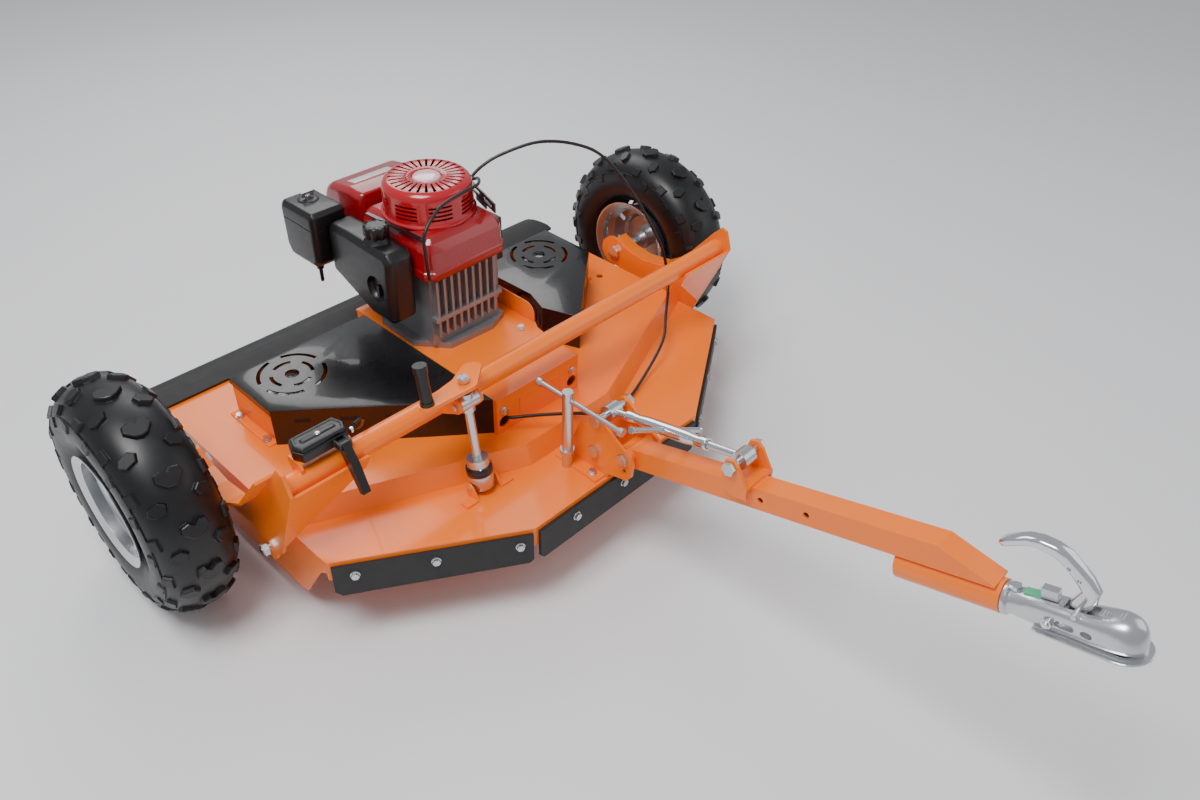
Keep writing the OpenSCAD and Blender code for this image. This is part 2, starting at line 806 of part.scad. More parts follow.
slots = 28;
module recoil_cover() {
  r = recoil_d / 2;
  wall = 4;
  z0 = shroud_top + gap / 3;
  color("#c01622")
    difference() {
      translate([0, 0, z0])
        rotate_extrude()
          polygon([
            [r - wall, 0], [r + 6, 0], [r + 6, 5], [r, 8], [r, recoil_h - 20], [r - 8, recoil_h - 6],
            [r - 20, recoil_h], [34, recoil_h], [30, recoil_h - 6], [0, recoil_h - 6], [0, recoil_h - 10],
            [36, recoil_h - 10], [r - 22, recoil_h - wall], [r - wall - 7, recoil_h - 10], [r - wall, recoil_h - 22]
          ]);
      for (k = [0 : slots - 1])
        rotate(k * 360 / slots)
          translate([46, -2.5, recoil_top - 20])
            cube([40, 5, 30]);
      // louvre slots round the drum
      for (k = [0 : 11], z = [20, 32, 44])
        rotate(k * 30 + 5)
          translate([r - 20, -18, z0 + z])
            cube([40, 36, 5]);
    }
}

tank_x0 = -half_case - 4 - gap - tank_w;
tank_y0 = -96;
tank_z0 = case_top - 108;
tank_top = tank_z0 + tank_h;
cap_spot = [tank_x0 + tank_w / 2, tank_y0 + 88];
tap_spot = [tank_x0 + 14, tank_y0 + 62, tank_z0 + 84];
module fuel_tank() {
  color("#151516")
    difference() {
      union() {
        intersection() {
          translate([0, 0, tank_z0])
            linear_extrude(tank_h)
              round_rect(tank_x0, tank_y0, tank_x0 + tank_w, tank_y0 + tank_l, 16);
          slab_yz([
            [tank_y0, tank_z0], [tank_y0 + 90, tank_z0], [tank_y0 + tank_l, tank_z0 + 62],
            [tank_y0 + tank_l, tank_top - 10], [tank_y0 + tank_l - 10, tank_top],
            [tank_y0 + 14, tank_top], [tank_y0, tank_top - 14]
          ], tank_x0, tank_w);
        }
        rod_z(24, tank_top - 1, tank_top + 8, cap_spot[0], cap_spot[1]);
      }
      // round recess of the fuel tap
      rod_x(30, tank_x0 - 5, tap_spot[0], tap_spot[1], tap_spot[2]);
      rod_x(5 + run, tank_x0 - 5, tap_spot[0] + 14, tap_spot[1], tap_spot[2]);
    }
}

module fuel_cap() {
  color("#101012")
    translate([cap_spot[0], cap_spot[1], tank_top + 8 + gap / 3])
      difference() {
        cylinder(r = 31, h = 28);
        for (k = [0 : 11])
          rotate(k * 30)
            translate([34, 0, -1])
              cylinder(r = 5, h = 40);
      }
}

module fuel_tap() {
  color("#2a2a2c") {
    rod_x(5, tap_spot[0] - 6, tap_spot[0] + 12, tap_spot[1], tap_spot[2]);
    translate([tap_spot[0] - 9, tap_spot[1] - 5, tap_spot[2] - 22])
      cube([7, 10, 28]);
  }
}

box_x0 = tank_x0 - 35;
box_y0 = tank_y0 + tank_l + gap;
box_z0 = case_top - 42;
box_w = 100;
box_l = 140;
box_h = 148;
knob_spot = [box_x0 + box_w / 2, box_y0 + 84];
module air_filter_box() {
  color("#17181a") {
    intersection() {
      translate([0, 0, box_z0])
        linear_extrude(box_h)
          round_rect(box_x0, box_y0, box_x0 + box_w, box_y0 + box_l, 18);
      slab_yz([
        [box_y0, box_z0 + 20], [box_y0 + 20, box_z0], [box_y0 + box_l - 20, box_z0], [box_y0 + box_l, box_z0 + 30],
        [box_y0 + box_l, box_z0 + box_h - 12], [box_y0 + box_l - 12, box_z0 + box_h],
        [box_y0 + 8, box_z0 + box_h], [box_y0, box_z0 + box_h - 8]
      ], box_x0, box_w);
    }
    // intake elbow to the carburettor, and the drain tube below
    translate([box_x0 + box_w - 4, box_y0 + 40, box_z0 + 24])
      cube([-104 - gap - box_x0 - box_w + 4, 60, 60]);
    rod_z(9, box_z0 - 20, box_z0 + 4, box_x0 + 30, box_y0 + 46);
    rod_z(5, box_z0 - 56, box_z0 - 19, box_x0 + 30, box_y0 + 46);
    rod_z(16, box_z0 + box_h - 2, box_z0 + box_h + 3, knob_spot[0], knob_spot[1]);
  }
}

module filter_knob() {
  z = box_z0 + box_h + 3 + gap / 3;
  color("silver") {
    rod_z(7, z, z + 8, knob_spot[0], knob_spot[1]);
    translate([knob_spot[0] - 16, knob_spot[1] - 2.5, z + 4])
      cube([32, 5, 12]);
  }
}

module muffler() {
  x0 = half_case + 8;
  color("#4a4d50") {
    difference() {
      translate([x0, -40, case_top - 92])
        cube([64, 214, 116]);
      for (k = [0 : 8])
        translate([x0 + 58, -24 + k * 22, case_top - 78])
          cube([20, 8, 88]);
    }
    translate([half_case - 14 + gap / 3, 60, case_top - 70])
      cube([24, 50, 44]);
    rod_y(13, 172, 206, x0 + 32, case_top - 66);
  }
}

// The slotted throttle bracket that stands beside the recoil starter, and the
// linkage strip on the shroud's left
bracket_spot = [122, -3];
bracket_turn = -107.5;
bracket_l = 152;
bracket_h = 36;
bracket_top = shroud_top + gap / 3 + bracket_h;
module throttle_bracket() {
  z0 = shroud_top + gap / 3;
  color("#26282a") {
    translate([bracket_spot[0], bracket_spot[1], z0])
      rotate(bracket_turn)
        difference() {
          union() {
            cube([bracket_l, 4, bracket_h]);
            translate([54, 0, 0])
              cube([34, 22, 4]);
          }
          for (s = [12, 84])
            translate([s, -1, bracket_h - 17])
              cube([52, 6, 9]);
          translate([-1, -1, -1])
            cube([44, 6, 14]);
          translate([100, -1, -1])
            cube([60, 6, 14]);
        }
    translate([-116, -112, z0])
      rotate(4)
        cube([10, 190, 3]);
  }
}

// ---- drawbar head ----------------------------------------------------------

plate_t = 8;
half_gap = head_gap / 2;
head_profile = [
  [-524, apron_z + 39], [-560, 362], [-590, 396], [-602, 404], [-618, 400], [-660, 366],
  [-708, 344], [-716, 326], [-712, 288], [-700, 271], [-682, 268], [-640, apron_z + 12],
  [-640, apron_z + gap / 3], [-508, apron_z + gap / 3], [-508, apron_z + 14]
];
spare_pin = [-690, 294];
head_bolt_x = half_gap + plate_t + 15;
head_bolt_y = [-612, -521];
module drawbar_head() {
  color("darkorange")
    difference() {
      union() {
        both_sides()
          slab_yz(head_profile, half_gap, plate_t);
        both_sides()
          translate([half_gap + plate_t - 1, -636, apron_z + gap / 3])
            cube([32, 128, 6]);
        translate([-half_gap - 1, -546, apron_z + gap / 3])
          cube([head_gap + 2, 6, 36]);
      }
      for (p = [head_pin, spacer_pin, pivot3])
        rod_x(pin_d / 2 + drill, -90, 90, p[0], p[1]);
      rod_x(pin_d / 2 + drill, -90, 90, spare_pin[0], spare_pin[1]);
      both_sides()
        for (y = head_bolt_y)
          rod_z(5 + drill, apron_z - 10, apron_z + 30, head_bolt_x, y);
      rod_z(post_d / 2 + gap, apron_z - 10, apron_z + 30, lock_x, lock_y);
    }
}

// A bolt through two plates along X, with a nut at its far end
module cross_bolt(p, d, half) {
  rod_x(d / 2, -half - 6, half + 12, p[0], p[1]);
  translate([-half - gap / 3, p[0], p[1]])
    rotate([0, -90, 0])
      cylinder(r = d * 0.95, h = d * 0.65, $fn = 6);
  translate([half + gap / 3, p[0], p[1]])
    rotate([0, 90, 0])
      cylinder(r = d * 0.95, h = d * 0.65, $fn = 6);
}

module fixed_bolts() {
  zf = skirt_bolt_z;
  out = skirt_t + 2 * gap / 3;
  color("#c9ccd0") {
    for (p = [head_pin, spacer_pin, pivot3])
      cross_bolt(p, pin_d, half_gap + plate_t);
    both_sides() {
      on_left_facet()
        for (s = facet_bolt_s)
          translate([s, -out, zf])
            rotate([90, 0, 0])
              bolt(bolt_d, out + deck_t);
      translate([-half_deck - gap / 3, pivot_y, pivot_z])
        rotate([0, -90, 0]) {
          cylinder(r = 14, h = 10 - gap);
          translate([0, 0, -deck_t - 12])
            cylinder(r = pivot_d / 2, h = deck_t + 34 + arm_x - half_deck);
          translate([0, 0, -deck_t - gap / 2 - 12])
            cylinder(r = 15, h = 12, $fn = 6);
          translate([0, 0, 10 + gap + arm_x + arm_t - half_deck - 10])
            cylinder(r = 15, h = 12, $fn = 6);
        }
      for (y = head_bolt_y)
        translate([head_bolt_x, y, apron_z + 6 + gap / 2])
          bolt(bolt_d, 6);
      translate([-112, -beam_front - gap / 3, plateau_z + 62])
        rotate([90, 0, 0])
          bolt(bolt_d, wall_t);
      for (p = wall_bolts)
        translate([p[0], p[1], plateau_z + foot_t + gap / 2])
          bolt(bolt_d, foot_t + deck_t);
    }
    for (x = nose_bolt_x)
      translate([x, -deck_front - out, zf])
        rotate([90, 0, 0])
          bolt(bolt_d, out + deck_t);
    for (s = spindle_spots, a = [45 : 90 : 315])
      translate([s[0] + 48 * cos(a), s[1] + 48 * sin(a), plateau_z + 7 + gap / 3])
        bolt(bolt_d, 7 + deck_t);
    for (a = mount_angles)
      translate([mount_pcd / 2 * cos(a), mount_pcd / 2 * sin(a), engine_z + 16 + gap / 3])
        bolt(bolt_d, 16 + platform_t);
    translate([112, -190, platform_top + gap / 3])
      bolt(bolt_d, platform_t);
  }
}

lock_x = -80;
lock_y = -547;
lock_d = 18;
post_d = 25;
post_top = apron_z + 212;
bar_hole_z = apron_z + 205 - 2;
module lock_post() {
  color("#b9bcc0")
    difference() {
      union() {
        rod_z(lock_d / 2, apron_z - 35, apron_z + 2, lock_x, lock_y);
        rod_z(post_d / 2, apron_z + gap, post_top, lock_x, lock_y);
        rod_z(17, apron_z + 44, apron_z + 50, lock_x, lock_y);
      }
      rod_y(6 + run, lock_y - 30, lock_y + 30, lock_x, bar_hole_z - 12);
    }
}
module lock_bar() {
  color("#c9ccd0") {
    rod_y(6, lock_y - 153, lock_y + 82, lock_x, bar_hole_z - 12);
    rod_y(10, lock_y + 82, lock_y + 92, lock_x, bar_hole_z - 12);
    rod_y(10, lock_y - 163, lock_y - 153, lock_x, bar_hole_z - 12);
  }
}

// ---- lift frame ------------------------------------------------------------

frame_profile = [
  [8, wheel_z + 44], [-51, 302], [-107, 294], [-181, 306], [-249, 350], [-375, 503], [-393, 497],
  [-409, 448], [-310, 224], [-253, 172], [-222, 178], [-208, 232], [-101, 222], [10, wheel_z - 44]
];
flange_line = [[0, wheel_z + 44], [-51, 302], [-107, 294], [-181, 306], [-249, 350], [-350, 473]];
web_slope = atan2(448 - 224, -409 + 310);

module lift_side() {
  x0 = -arm_x - arm_t / 2;
  difference() {
    union() {
      slab_yz(frame_profile, x0, arm_t);
      rod_x(44, x0, x0 + arm_t, 9, wheel_z);
      rod_x(30, x0, x0 + arm_t, pivot_y, pivot_z);
      slab_yz(band(flange_line, 6), x0 - 36, 36 + 1);
      // sloping web that braces the side plate to the cross tube
      translate([0, -402, 448])
        rotate([web_slope, 0, 0])
          linear_extrude(6)
            polygon([
              [x0 + 2, -4], [-500, -4], [-500, -44], [-652, -190], [x0 + 2, -225]
            ]);
    }
    rod_x(pivot_d / 2 + run, x0 - 90, x0 + 90, pivot_y, pivot_z);
    rod_x(axle_d / 2 + drill, x0 - 20, x0 + 20, 0, wheel_z);
  }
}

ear_t = 8;
ear_in = 24;
// Plate ears on the cross tube that carry the screw's trunnion
module trunnion_ear(x) {
  difference() {
    union() {
      slab_yz([
        [-tube_y, tube_z + 20], [-tube_y - 4, tube_z - 20], [trunnion_y - 8, trunnion_z - 13],
        [trunnion_y - 2, trunnion_z + 15]
      ], x, ear_t);
      rod_x(16, x, x + ear_t, trunnion_y, trunnion_z);
    }
    rod_x(8 + run, x - 5, x + ear_t + 5, trunnion_y, trunnion_z);
  }
}

module lift_frame() {
  color("darkorange") {
    both_sides()
      lift_side();
    difference() {
      rod_x(tube_d / 2, -arm_x, arm_x, -tube_y, tube_z);
      rod_x(tube_d / 2 - 4, -arm_x + 10, arm_x - 10, -tube_y, tube_z);
    }
    trunnion_ear(screw_x - ear_in - ear_t);
    trunnion_ear(screw_x + ear_in);
    // ears that hold the clutch control
    for (x = [clutch_x - 60, clutch_x + 54])
      slab_yz([
        [-tube_y - 12, tube_z + 20], [-tube_y + 22, tube_z + 12], [-tube_y + 34, tube_z + 34],
        [-tube_y + 30, tube_z + 44], [-tube_y - 6, tube_z + 44], [-tube_y - 14, tube_z + 32]
      ], x, 6);
  }
}

module stub_axles() {
  x0 = arm_x - arm_t / 2;
  color("#a9adb1")
    both_sides() {
      rod_x(axle_d / 2, x0 - 10, track / 2 + 46, 0, wheel_z);
      rod_x(axle_d / 2 + 7, x0 + arm_t + gap / 3, track / 2 - hub_l / 2 - gap, 0, wheel_z);
      rod_x(axle_d / 2 + 9, track / 2 + hub_l / 2 + gap, track / 2 + hub_l / 2 + 14, 0, wheel_z);
      translate([x0 - 12, 0, wheel_z])
        rotate([0, 90, 0])
          cylinder(r = axle_d * 0.85, h = 12 - gap / 3, $fn = 6);
    }
}

// ---- wheels ----------------------------------------------------------------

hub_l = 60;
rim_half = tyre_w / 2 - 5;
tyre_seat = rim_od / 2 - 14;
tyre_mid = (wheel_z + tyre_seat) / 2;
tyre_hh = (wheel_z - tyre_seat) / 2;
bead_in = 52;                          // inner edge of a tyre bead
function squircle(a, n) = [sign(cos(a)) * pow(abs(cos(a)), 2 / n), sign(sin(a)) * pow(abs(sin(a)), 2 / n)];
function tyre_arc(w, h, a0, a1, n) = [
  for (i = [0 : n])
    let (p = squircle(a0 + (a1 - a0) * i / n, 2.25))
    [tyre_mid + h * p[1], w * p[0]]
];
module tyre(x) {
  wall = 9;
  outer = tyre_arc(tyre_w / 2, tyre_hh, -42, 222, 28);
  inner = tyre_arc(tyre_w / 2 - wall, tyre_hh - wall, 242, -62, 26);
  color("#141416")
    translate([x, 0, wheel_z])
      rotate([0, 90, 0])
        rotate_extrude()
          polygon(concat(
            outer, [[tyre_seat, -71], [tyre_seat, -bead_in]], inner, [[tyre_seat, bead_in], [tyre_seat, 71]]
          ));
}
module tyre_left() { tyre(-track / 2); }
module tyre_right() { tyre(track / 2); }

// A pressed-steel rim with its hub; turn is -1 or 1 for the side its nuts face
module rim(x, turn) {
  r = rim_od / 2;
  seat = tyre_seat - 0.3;
  color("#b4b8bc")
    translate([x, 0, wheel_z])
      rotate([0, 90 * turn, 0]) {
        rotate_extrude()
          polygon([
            [r, rim_half], [r - 4, rim_half], [seat - 6, rim_half - 9], [seat - 6, 52],
            [seat - 22, 40], [seat - 22, -40], [seat - 6, -52], [seat - 6, -rim_half + 9],
            [r - 4, -rim_half], [r, -rim_half], [r, -rim_half + 3], [seat, -rim_half + 12],
            [seat, -50], [seat - 16, -37], [seat - 16, 37], [seat, 50], [seat, rim_half - 12], [r, rim_half - 3]
          ]);
        difference() {
          union() {
            rotate_extrude()
              polygon([
                [0, 6], [70, 6], [82, -8], [seat - 20, -8], [seat - 20, -13], [79, -13], [67, 0], [0, 0]
              ]);
            cylinder(r = 32, h = hub_l, center = true);
            cylinder(r = 66, h = 12, center = true);
          }
          cylinder(r = axle_d / 2 + run, h = 200, center = true);
          for (a = [22.5 : 45 : 360])
            rotate(a)
              translate([92, 0, -30])
                cylinder(r = 8, h = 60);
        }
        for (a = [0 : 90 : 270])
          rotate(a)
            translate([stud_pcd / 2, 0, 5])
              cylinder(r = 9, h = 14, $fn = 6);
      }
}
module rim_left() { rim(-track / 2, -1); }
module rim_right() { rim(track / 2, 1); }

// ---- clutch control on the cross tube -----------------------------------------

clutch_x = -576;
clutch_z = tube_z + 44 + gap / 3;
lever_pin = [-tube_y - 4, tube_z + 62];
module clutch_box() {
  color("#121214")
    difference() {
      union() {
        translate([0, 0, clutch_z])
          linear_extrude(26)
            polygon([
              [clutch_x - 50, -tube_y - 14], [clutch_x + 52, -tube_y - 14], [clutch_x + 62, -tube_y + 10],
              [clutch_x + 52, -tube_y + 40], [clutch_x - 50, -tube_y + 40], [clutch_x - 60, -tube_y + 10]
            ]);
        translate([0, 0, clutch_z + 25])
          linear_extrude(8)
            polygon([
              [clutch_x - 42, -tube_y - 8], [clutch_x + 44, -tube_y - 8], [clutch_x + 52, -tube_y + 12],
              [clutch_x + 42, -tube_y + 34], [clutch_x - 42, -tube_y + 34], [clutch_x - 50, -tube_y + 12]
            ]);
        rod_x(7, clutch_x + 56, -496 - gap / 3, -358, clutch_z + 12);
        both_sides_of_lever();
      }
      rod_x(4 + run, clutch_x - 30, clutch_x + 70, lever_yz[0], lever_yz[1]);
    }
}
lever_x = clutch_x + 30;
lever_w = 18;
lever_yz = [-tube_y - 28, clutch_z + 12];
// Two lugs on the box's front that hold the lever's pin
module both_sides_of_lever() {
  for (x = [lever_x - lever_w / 2 - gap - 6, lever_x + lever_w / 2 + gap])
    translate([x, lever_yz[0] - 8, lever_yz[1] - 8])
      cube([6, 24, 16]);
}
module clutch_lever() {
  color("#0e0e10") {
    difference() {
      slab_yz([
        [lever_yz[0] + 8, lever_yz[1] + 6], [lever_yz[0] - 8, lever_yz[1] + 8],
        [lever_yz[0] - 36, lever_yz[1] - 34], [lever_yz[0] - 60, lever_yz[1] - 92],
        [lever_yz[0] - 48, lever_yz[1] - 96], [lever_yz[0] - 18, lever_yz[1] - 48],
        [lever_yz[0] + 6, lever_yz[1] - 9]
      ], lever_x - lever_w / 2, lever_w);
      rod_x(3, lever_x - 40, lever_x + 40, lever_yz[0], lever_yz[1]);
    }
    rod_x(4, lever_x - lever_w / 2 - 6, lever_x + lever_w / 2 + 6, lever_yz[0], lever_yz[1]);
  }
}

// ---- height screw ------------------------------------------------------------

// Places things on the screw's axis: local Z runs up the screw from the foot's pivot
module on_screw() {
  translate([screw_x, foot_y, foot_z])
    rotate([-screw_lean, 0, 0])
      children();
}
foot_r = 30;
foot_low = -9;
foot_h = 46;
screw_top = screw_len + 62;
crank_z = screw_len + 46;

module screw_foot() {
  color("#b9bcc0")
    on_screw()
      difference() {
        union() {
          translate([0, 0, foot_low])
            cylinder(r = foot_r, h = foot_h - foot_low);
          rod_x(6, -foot_r - 8, foot_r + 8, 0, 0);
        }
        translate([0, 0, foot_low + 12])
          cylinder(r = 16 + gap, h = 200);
      }
}

module screw_bracket() {
  color("darkorange")
    difference() {
      union() {
        for (x = [screw_x - foot_r - 7, screw_x + foot_r + 1])
          slab_yz([
            [foot_y - 30, apron_z + gap / 3], [foot_y + 8, apron_z + gap / 3],
            [foot_y + 11, foot_z + 8], [foot_y, foot_z + 12], [foot_y - 11, foot_z + 8]
          ], x, 6);
        for (x = [screw_x - foot_r - 38, screw_x + foot_r + 6])
          translate([x, foot_y - 30, apron_z + gap / 3])
            cube([32, 22, 5]);
      }
      rod_x(6 + run, screw_x - 60, screw_x + 60, foot_y, foot_z);
    }
}

module height_screw() {
  color("#b9bcc0")
    on_screw() {
      translate([0, 0, foot_low + 12 + gap])
        cylinder(r = 16, h = 30);
      translate([0, 0, foot_low + 30])
        cylinder(r = screw_d / 2, h = screw_top - foot_low - 30);
      translate([0, 0, foot_h + gap])
        cylinder(r = 25, h = 20);
      translate([0, 0, screw_top - 12])
        cylinder(r = 14, h = 10, $fn = 6);
    }
}

grip_spot = [-crank_r, -6];
tail_spot = [52, 38];
module crank_plate() {
  t = 8;
  color("darkorange")
    on_screw()
      translate([0, 0, crank_z - t])
        difference() {
          union() {
            linear_extrude(t) {
              circle(30);
              translate(grip_spot)
                circle(18);
              translate(tail_spot)
                circle(22);
              polygon([
                [-4, 30], [-crank_r - 2, 11.8], [-crank_r - 4, -23.6], [-2, -30]
              ]);
              polygon([[-12, 27], [40, 56], [66, 21], [24, -18]]);
            }
            translate([grip_spot[0], grip_spot[1], t - 1])
              cylinder(r = 5, h = 88);
          }
          translate([0, 0, -1])
            cylinder(r = screw_d / 2 + gap / 3, h = t + 2);
        }
}

module crank_grip() {
  color("#0e0e10")
    on_screw()
      translate([grip_spot[0], grip_spot[1], crank_z + gap])
        difference() {
          union() {
            cylinder(r = 13, h = 84);
            translate([0, 0, 74])
              cylinder(r = 15, h = 18);
            cylinder(r = 15, h = 8);
          }
          translate([0, 0, -1])
            cylinder(r = 5 + run, h = 90);
        }
}

slack = 2.4;                           // radial slack of the nut, which the pivoting foot takes up
module screw_trunnion() {
  color("#c9ccd0")
    translate([screw_x, trunnion_y, trunnion_z])
      rotate([-screw_lean, 0, 0])
        difference() {
          union() {
            rod_x(17, -ear_in + gap, ear_in - gap, 0, 0);
            rod_x(8, -ear_in - ear_t - 6, ear_in + ear_t + 6, 0, 0);
            cylinder(r = 15, h = 44, center = true);
          }
          cylinder(r = screw_d / 2 + slack, h = 80, center = true);
        }
}

// ---- drawbar, turnbuckle and coupler -------------------------------------------

// Places things in the drawbar's frame: local X along the bar, local Y across the
// machine and local Z up the bar's web
module on_bar() {
  translate([0, bar_y0, bar_z0])
    rotate([0, 0, -90])
      rotate([0, -bar_pitch, 0])
        children();
}
// A rod across the bar, at a point of its side view
module bar_rod(r, half, p) {
  translate([p[0], -half, p[1]])
    rotate([-90, 0, 0])
      cylinder(r = r, h = 2 * half);
}
// A plate drawn in the bar's side view, between y and y + t
module bar_slab(pts, y, t) {
  translate([0, y + t, 0])
    rotate([90, 0, 0])
      linear_extrude(t)
        polygon(pts);
}

half_bar = bar_w / 2;
ear_gap = 37;                          // inner face of the turnbuckle's ears
side_hole_s = [330, 435];
bar_end = bar_l - bar_rear;
module drawbar() {
  color("darkorange")
    on_bar()
      difference() {
        union() {
          bar_slab([
            [-bar_rear, -half_bar], [bar_end, -half_bar], [bar_end, -half_bar + 3],
            [slant_s, half_bar], [-bar_rear, half_bar]
          ], -half_bar, bar_w);
          bar_rod(pin_d / 2 + 7, half_gap - gap, bar_pin);
          // saddle with the turnbuckle's two ears
          translate([link_pin[0] - 30, -ear_gap - 7, half_bar - 1])
            cube([62, 2 * ear_gap + 14, 7]);
          for (y = [-ear_gap - 7, ear_gap])
            bar_slab([
              [link_pin[0] - 30, half_bar + 2], [link_pin[0] - 18, link_pin[1] + 4],
              [link_pin[0] - 10, link_pin[1] + 17], [link_pin[0] + 10, link_pin[1] + 17],
              [link_pin[0] + 18, link_pin[1] + 4], [link_pin[0] + 32, half_bar + 2],
              [link_pin[0] + 26, 3], [link_pin[0] - 4, 3]
            ], y, 7);
          // round tube that the coupler's shank turns in
          translate([swivel_s0, 0, swivel_n + 1])
            rotate([0, 90, 0])
              cylinder(r = swivel_d / 2, h = swivel_s1 - swivel_s0);
        }
        bar_slab([
          [-bar_rear - 5, -half_bar + bar_wall], [bar_end - 60, -half_bar + bar_wall],
          [slant_s - 8, half_bar - bar_wall], [-bar_rear - 5, half_bar - bar_wall]
        ], -half_bar + bar_wall, bar_w - 2 * bar_wall);
        bar_rod(pin_d / 2 + run, 80, bar_pin);
        bar_rod(pin_d / 2 + drill, 80, link_pin);
        for (s = side_hole_s)
          bar_rod(6.5, 80, [s, 0]);
        translate([swivel_s0 + 8, 0, swivel_n + 1])
          rotate([0, 90, 0])
            cylinder(r = shank_r + run, h = 400);
      }
}

module drawbar_bolt() {
  half = ear_gap + 7;
  color("#c9ccd0")
    on_bar()
      union() {
        bar_rod(pin_d / 2, half + 9, link_pin);
        translate([link_pin[0], -half - gap / 3, link_pin[1]])
          rotate([90, 0, 0])
            cylinder(r = pin_d * 0.95, h = pin_d * 0.65, $fn = 6);
        translate([link_pin[0], half + gap / 3, link_pin[1]])
          rotate([-90, 0, 0])
            cylinder(r = pin_d * 0.95, h = pin_d * 0.65, $fn = 6);
      }
}

// Places things on the turnbuckle: local X runs from the head's pin to the bar's pin
module on_link() {
  translate([0, head_pin[0], head_pin[1]])
    rotate([0, 0, -90])
      rotate([0, -link_angle, 0])
        children();
}
module eye(r, w) {
  difference() {
    rotate([90, 0, 0])
      cylinder(r = r, h = w, center = true);
    rotate([90, 0, 0])
      cylinder(r = pin_d / 2 + run, h = 2 * w, center = true);
  }
}
link_r = 9;
barrel_r = 15;
barrel_s0 = 50;
barrel_l = 222;
eye_w = 34;
module turnbuckle_rear() {
  color("#c3c6ca")
    on_link() {
      eye(19, eye_w);
      translate([17, 0, 0])
        rotate([0, 90, 0])
          cylinder(r = link_r, h = 106);
    }
}
module turnbuckle_front() {
  color("#c3c6ca")
    on_link()
      translate([link_len, 0, 0]) {
        eye(19, eye_w);
        translate([-17, 0, 0])
          rotate([0, -90, 0])
            cylinder(r = link_r, h = 140);
      }
}
tommy_tilt = 62;
tommy_r = 6;
tommy_l = 236;
module turnbuckle_barrel() {
  color("#c3c6ca")
    on_link()
      translate([barrel_s0, 0, 0])
        difference() {
          union() {
            rotate([0, 90, 0])
              cylinder(r = barrel_r, h = barrel_l);
            for (s = [0, barrel_l - 20])
              translate([s, 0, 0])
                rotate([0, 90, 0])
                  cylinder(r = barrel_r + 4, h = 20, $fn = 6);
          }
          translate([barrel_l / 2, 0, 0])
            rotate([tommy_tilt, 0, 0])
              cylinder(r = tommy_r + run, h = 60, center = true);
          translate([-1, 0, 0])
            rotate([0, 90, 0])
              cylinder(r = link_r + run, h = 100);
          translate([99, 0, 0])
            rotate([0, 90, 0])
              cylinder(r = link_r + 1, h = barrel_l);
          translate([80, 0, 0])
            rotate([0, 90, 0])
              cylinder(r = link_r + 1, h = 30);
        }
}

// The bar that turns the barrel, sliding in its cross hole between two upset ends
module tommy_bar() {
  color("#c3c6ca")
    on_link()
      translate([barrel_s0 + barrel_l / 2, 0, 0])
        rotate([tommy_tilt, 0, 0]) {
          cylinder(r = tommy_r, h = tommy_l, center = true);
          for (z = [-tommy_l / 2, tommy_l / 2 - 4])
            translate([0, 0, z])
              cylinder(r = tommy_r + 1.5, h = 4);
        }
}

// The coupler's local frame: X along the shank from the swivel tube's mouth, Z up
module on_coupler() {
  on_bar()
    translate([swivel_s1, 0, swivel_n + 1])
      children();
}
shank_r = 24;
ball_s = 182;
ball_n = 6;
socket_r = ball_d / 2 + 0.5;
dome_r = 34;
handle_pin = [118, 30];
// A plug with a round top, centred on the ball, that reaches down to z0
module domed_plug(r, z0) {
  rotate_extrude()
    polygon(concat([[0, z0], [r, z0]], [for (a = [0 : 7.5 : 90]) [r * cos(a), ball_n + r * sin(a)]]));
}
module coupler_body() {
  color("#aeb2b6")
    on_coupler()
      difference() {
        union() {
          translate([-130, 0, 0])
            rotate([0, 90, 0])
              cylinder(r = shank_r, h = 160);
          translate([gap, 0, 0])
            rotate([0, 90, 0])
              cylinder(r = 29, h = 9);
          // pressed body: a channel that widens to the ball's dome
          translate([20, -26, -23])
            cube([100, 52, 51]);
          translate([20, -9, 26])
            cube([30, 18, 14]);
          translate([100, 0, -20])
            linear_extrude(44)
              polygon([[-6, -25], [ball_s - 100, 2 - dome_r], [ball_s - 100, dome_r - 2], [-6, 25]]);
          translate([ball_s, 0, 0])
            domed_plug(dome_r, -20);
          // wide lip round the mouth
          translate([0, 0, -24])
            linear_extrude(5) {
              translate([ball_s, 0])
                circle(44);
              polygon([[54, -36], [ball_s, -42], [ball_s, 42], [54, 36]]);
            }
        }
        translate([ball_s, 0, 0])
          domed_plug(socket_r, -60);
        // hollow of the pressed channel, behind the socket
        translate([52, -14, -40])
          cube([78, 28, 58]);
        // slot in the top for the handle
        translate([96, -11, -10])
          cube([52, 22, 60]);
        bar_rod(5 + run, 60, handle_pin);
        bar_rod(6, 60, [78, 0]);
      }
}

module coupler_handle() {
  color("#b9bcc0")
    on_coupler() {
      difference() {
        union() {
          bar_slab([
            [104, 24], [126, 22], [136, 36], [152, 60], [148, 72], [118, 92], [104, 132], [92, 141],
            [34, 146], [-4, 122], [-8, 114], [-2, 108], [38, 128], [80, 120], [92, 92], [102, 62]
          ], -9, 18);
          bar_slab([[36, 140], [34, 146], [-4, 122], [-8, 114], [-2, 108], [38, 128]], -14, 28);
        }
        bar_rod(2, 60, handle_pin);
      }
      bar_rod(5, 33, handle_pin);
    }
}

catch_pin = [66, 36];
module coupler_catch() {
  color("#5a5d60")
    on_coupler()
      translate([60, -8, 28 + gap])
        cube([26, 16, 18]);
}

// ---- cables ---------------------------------------------------------------

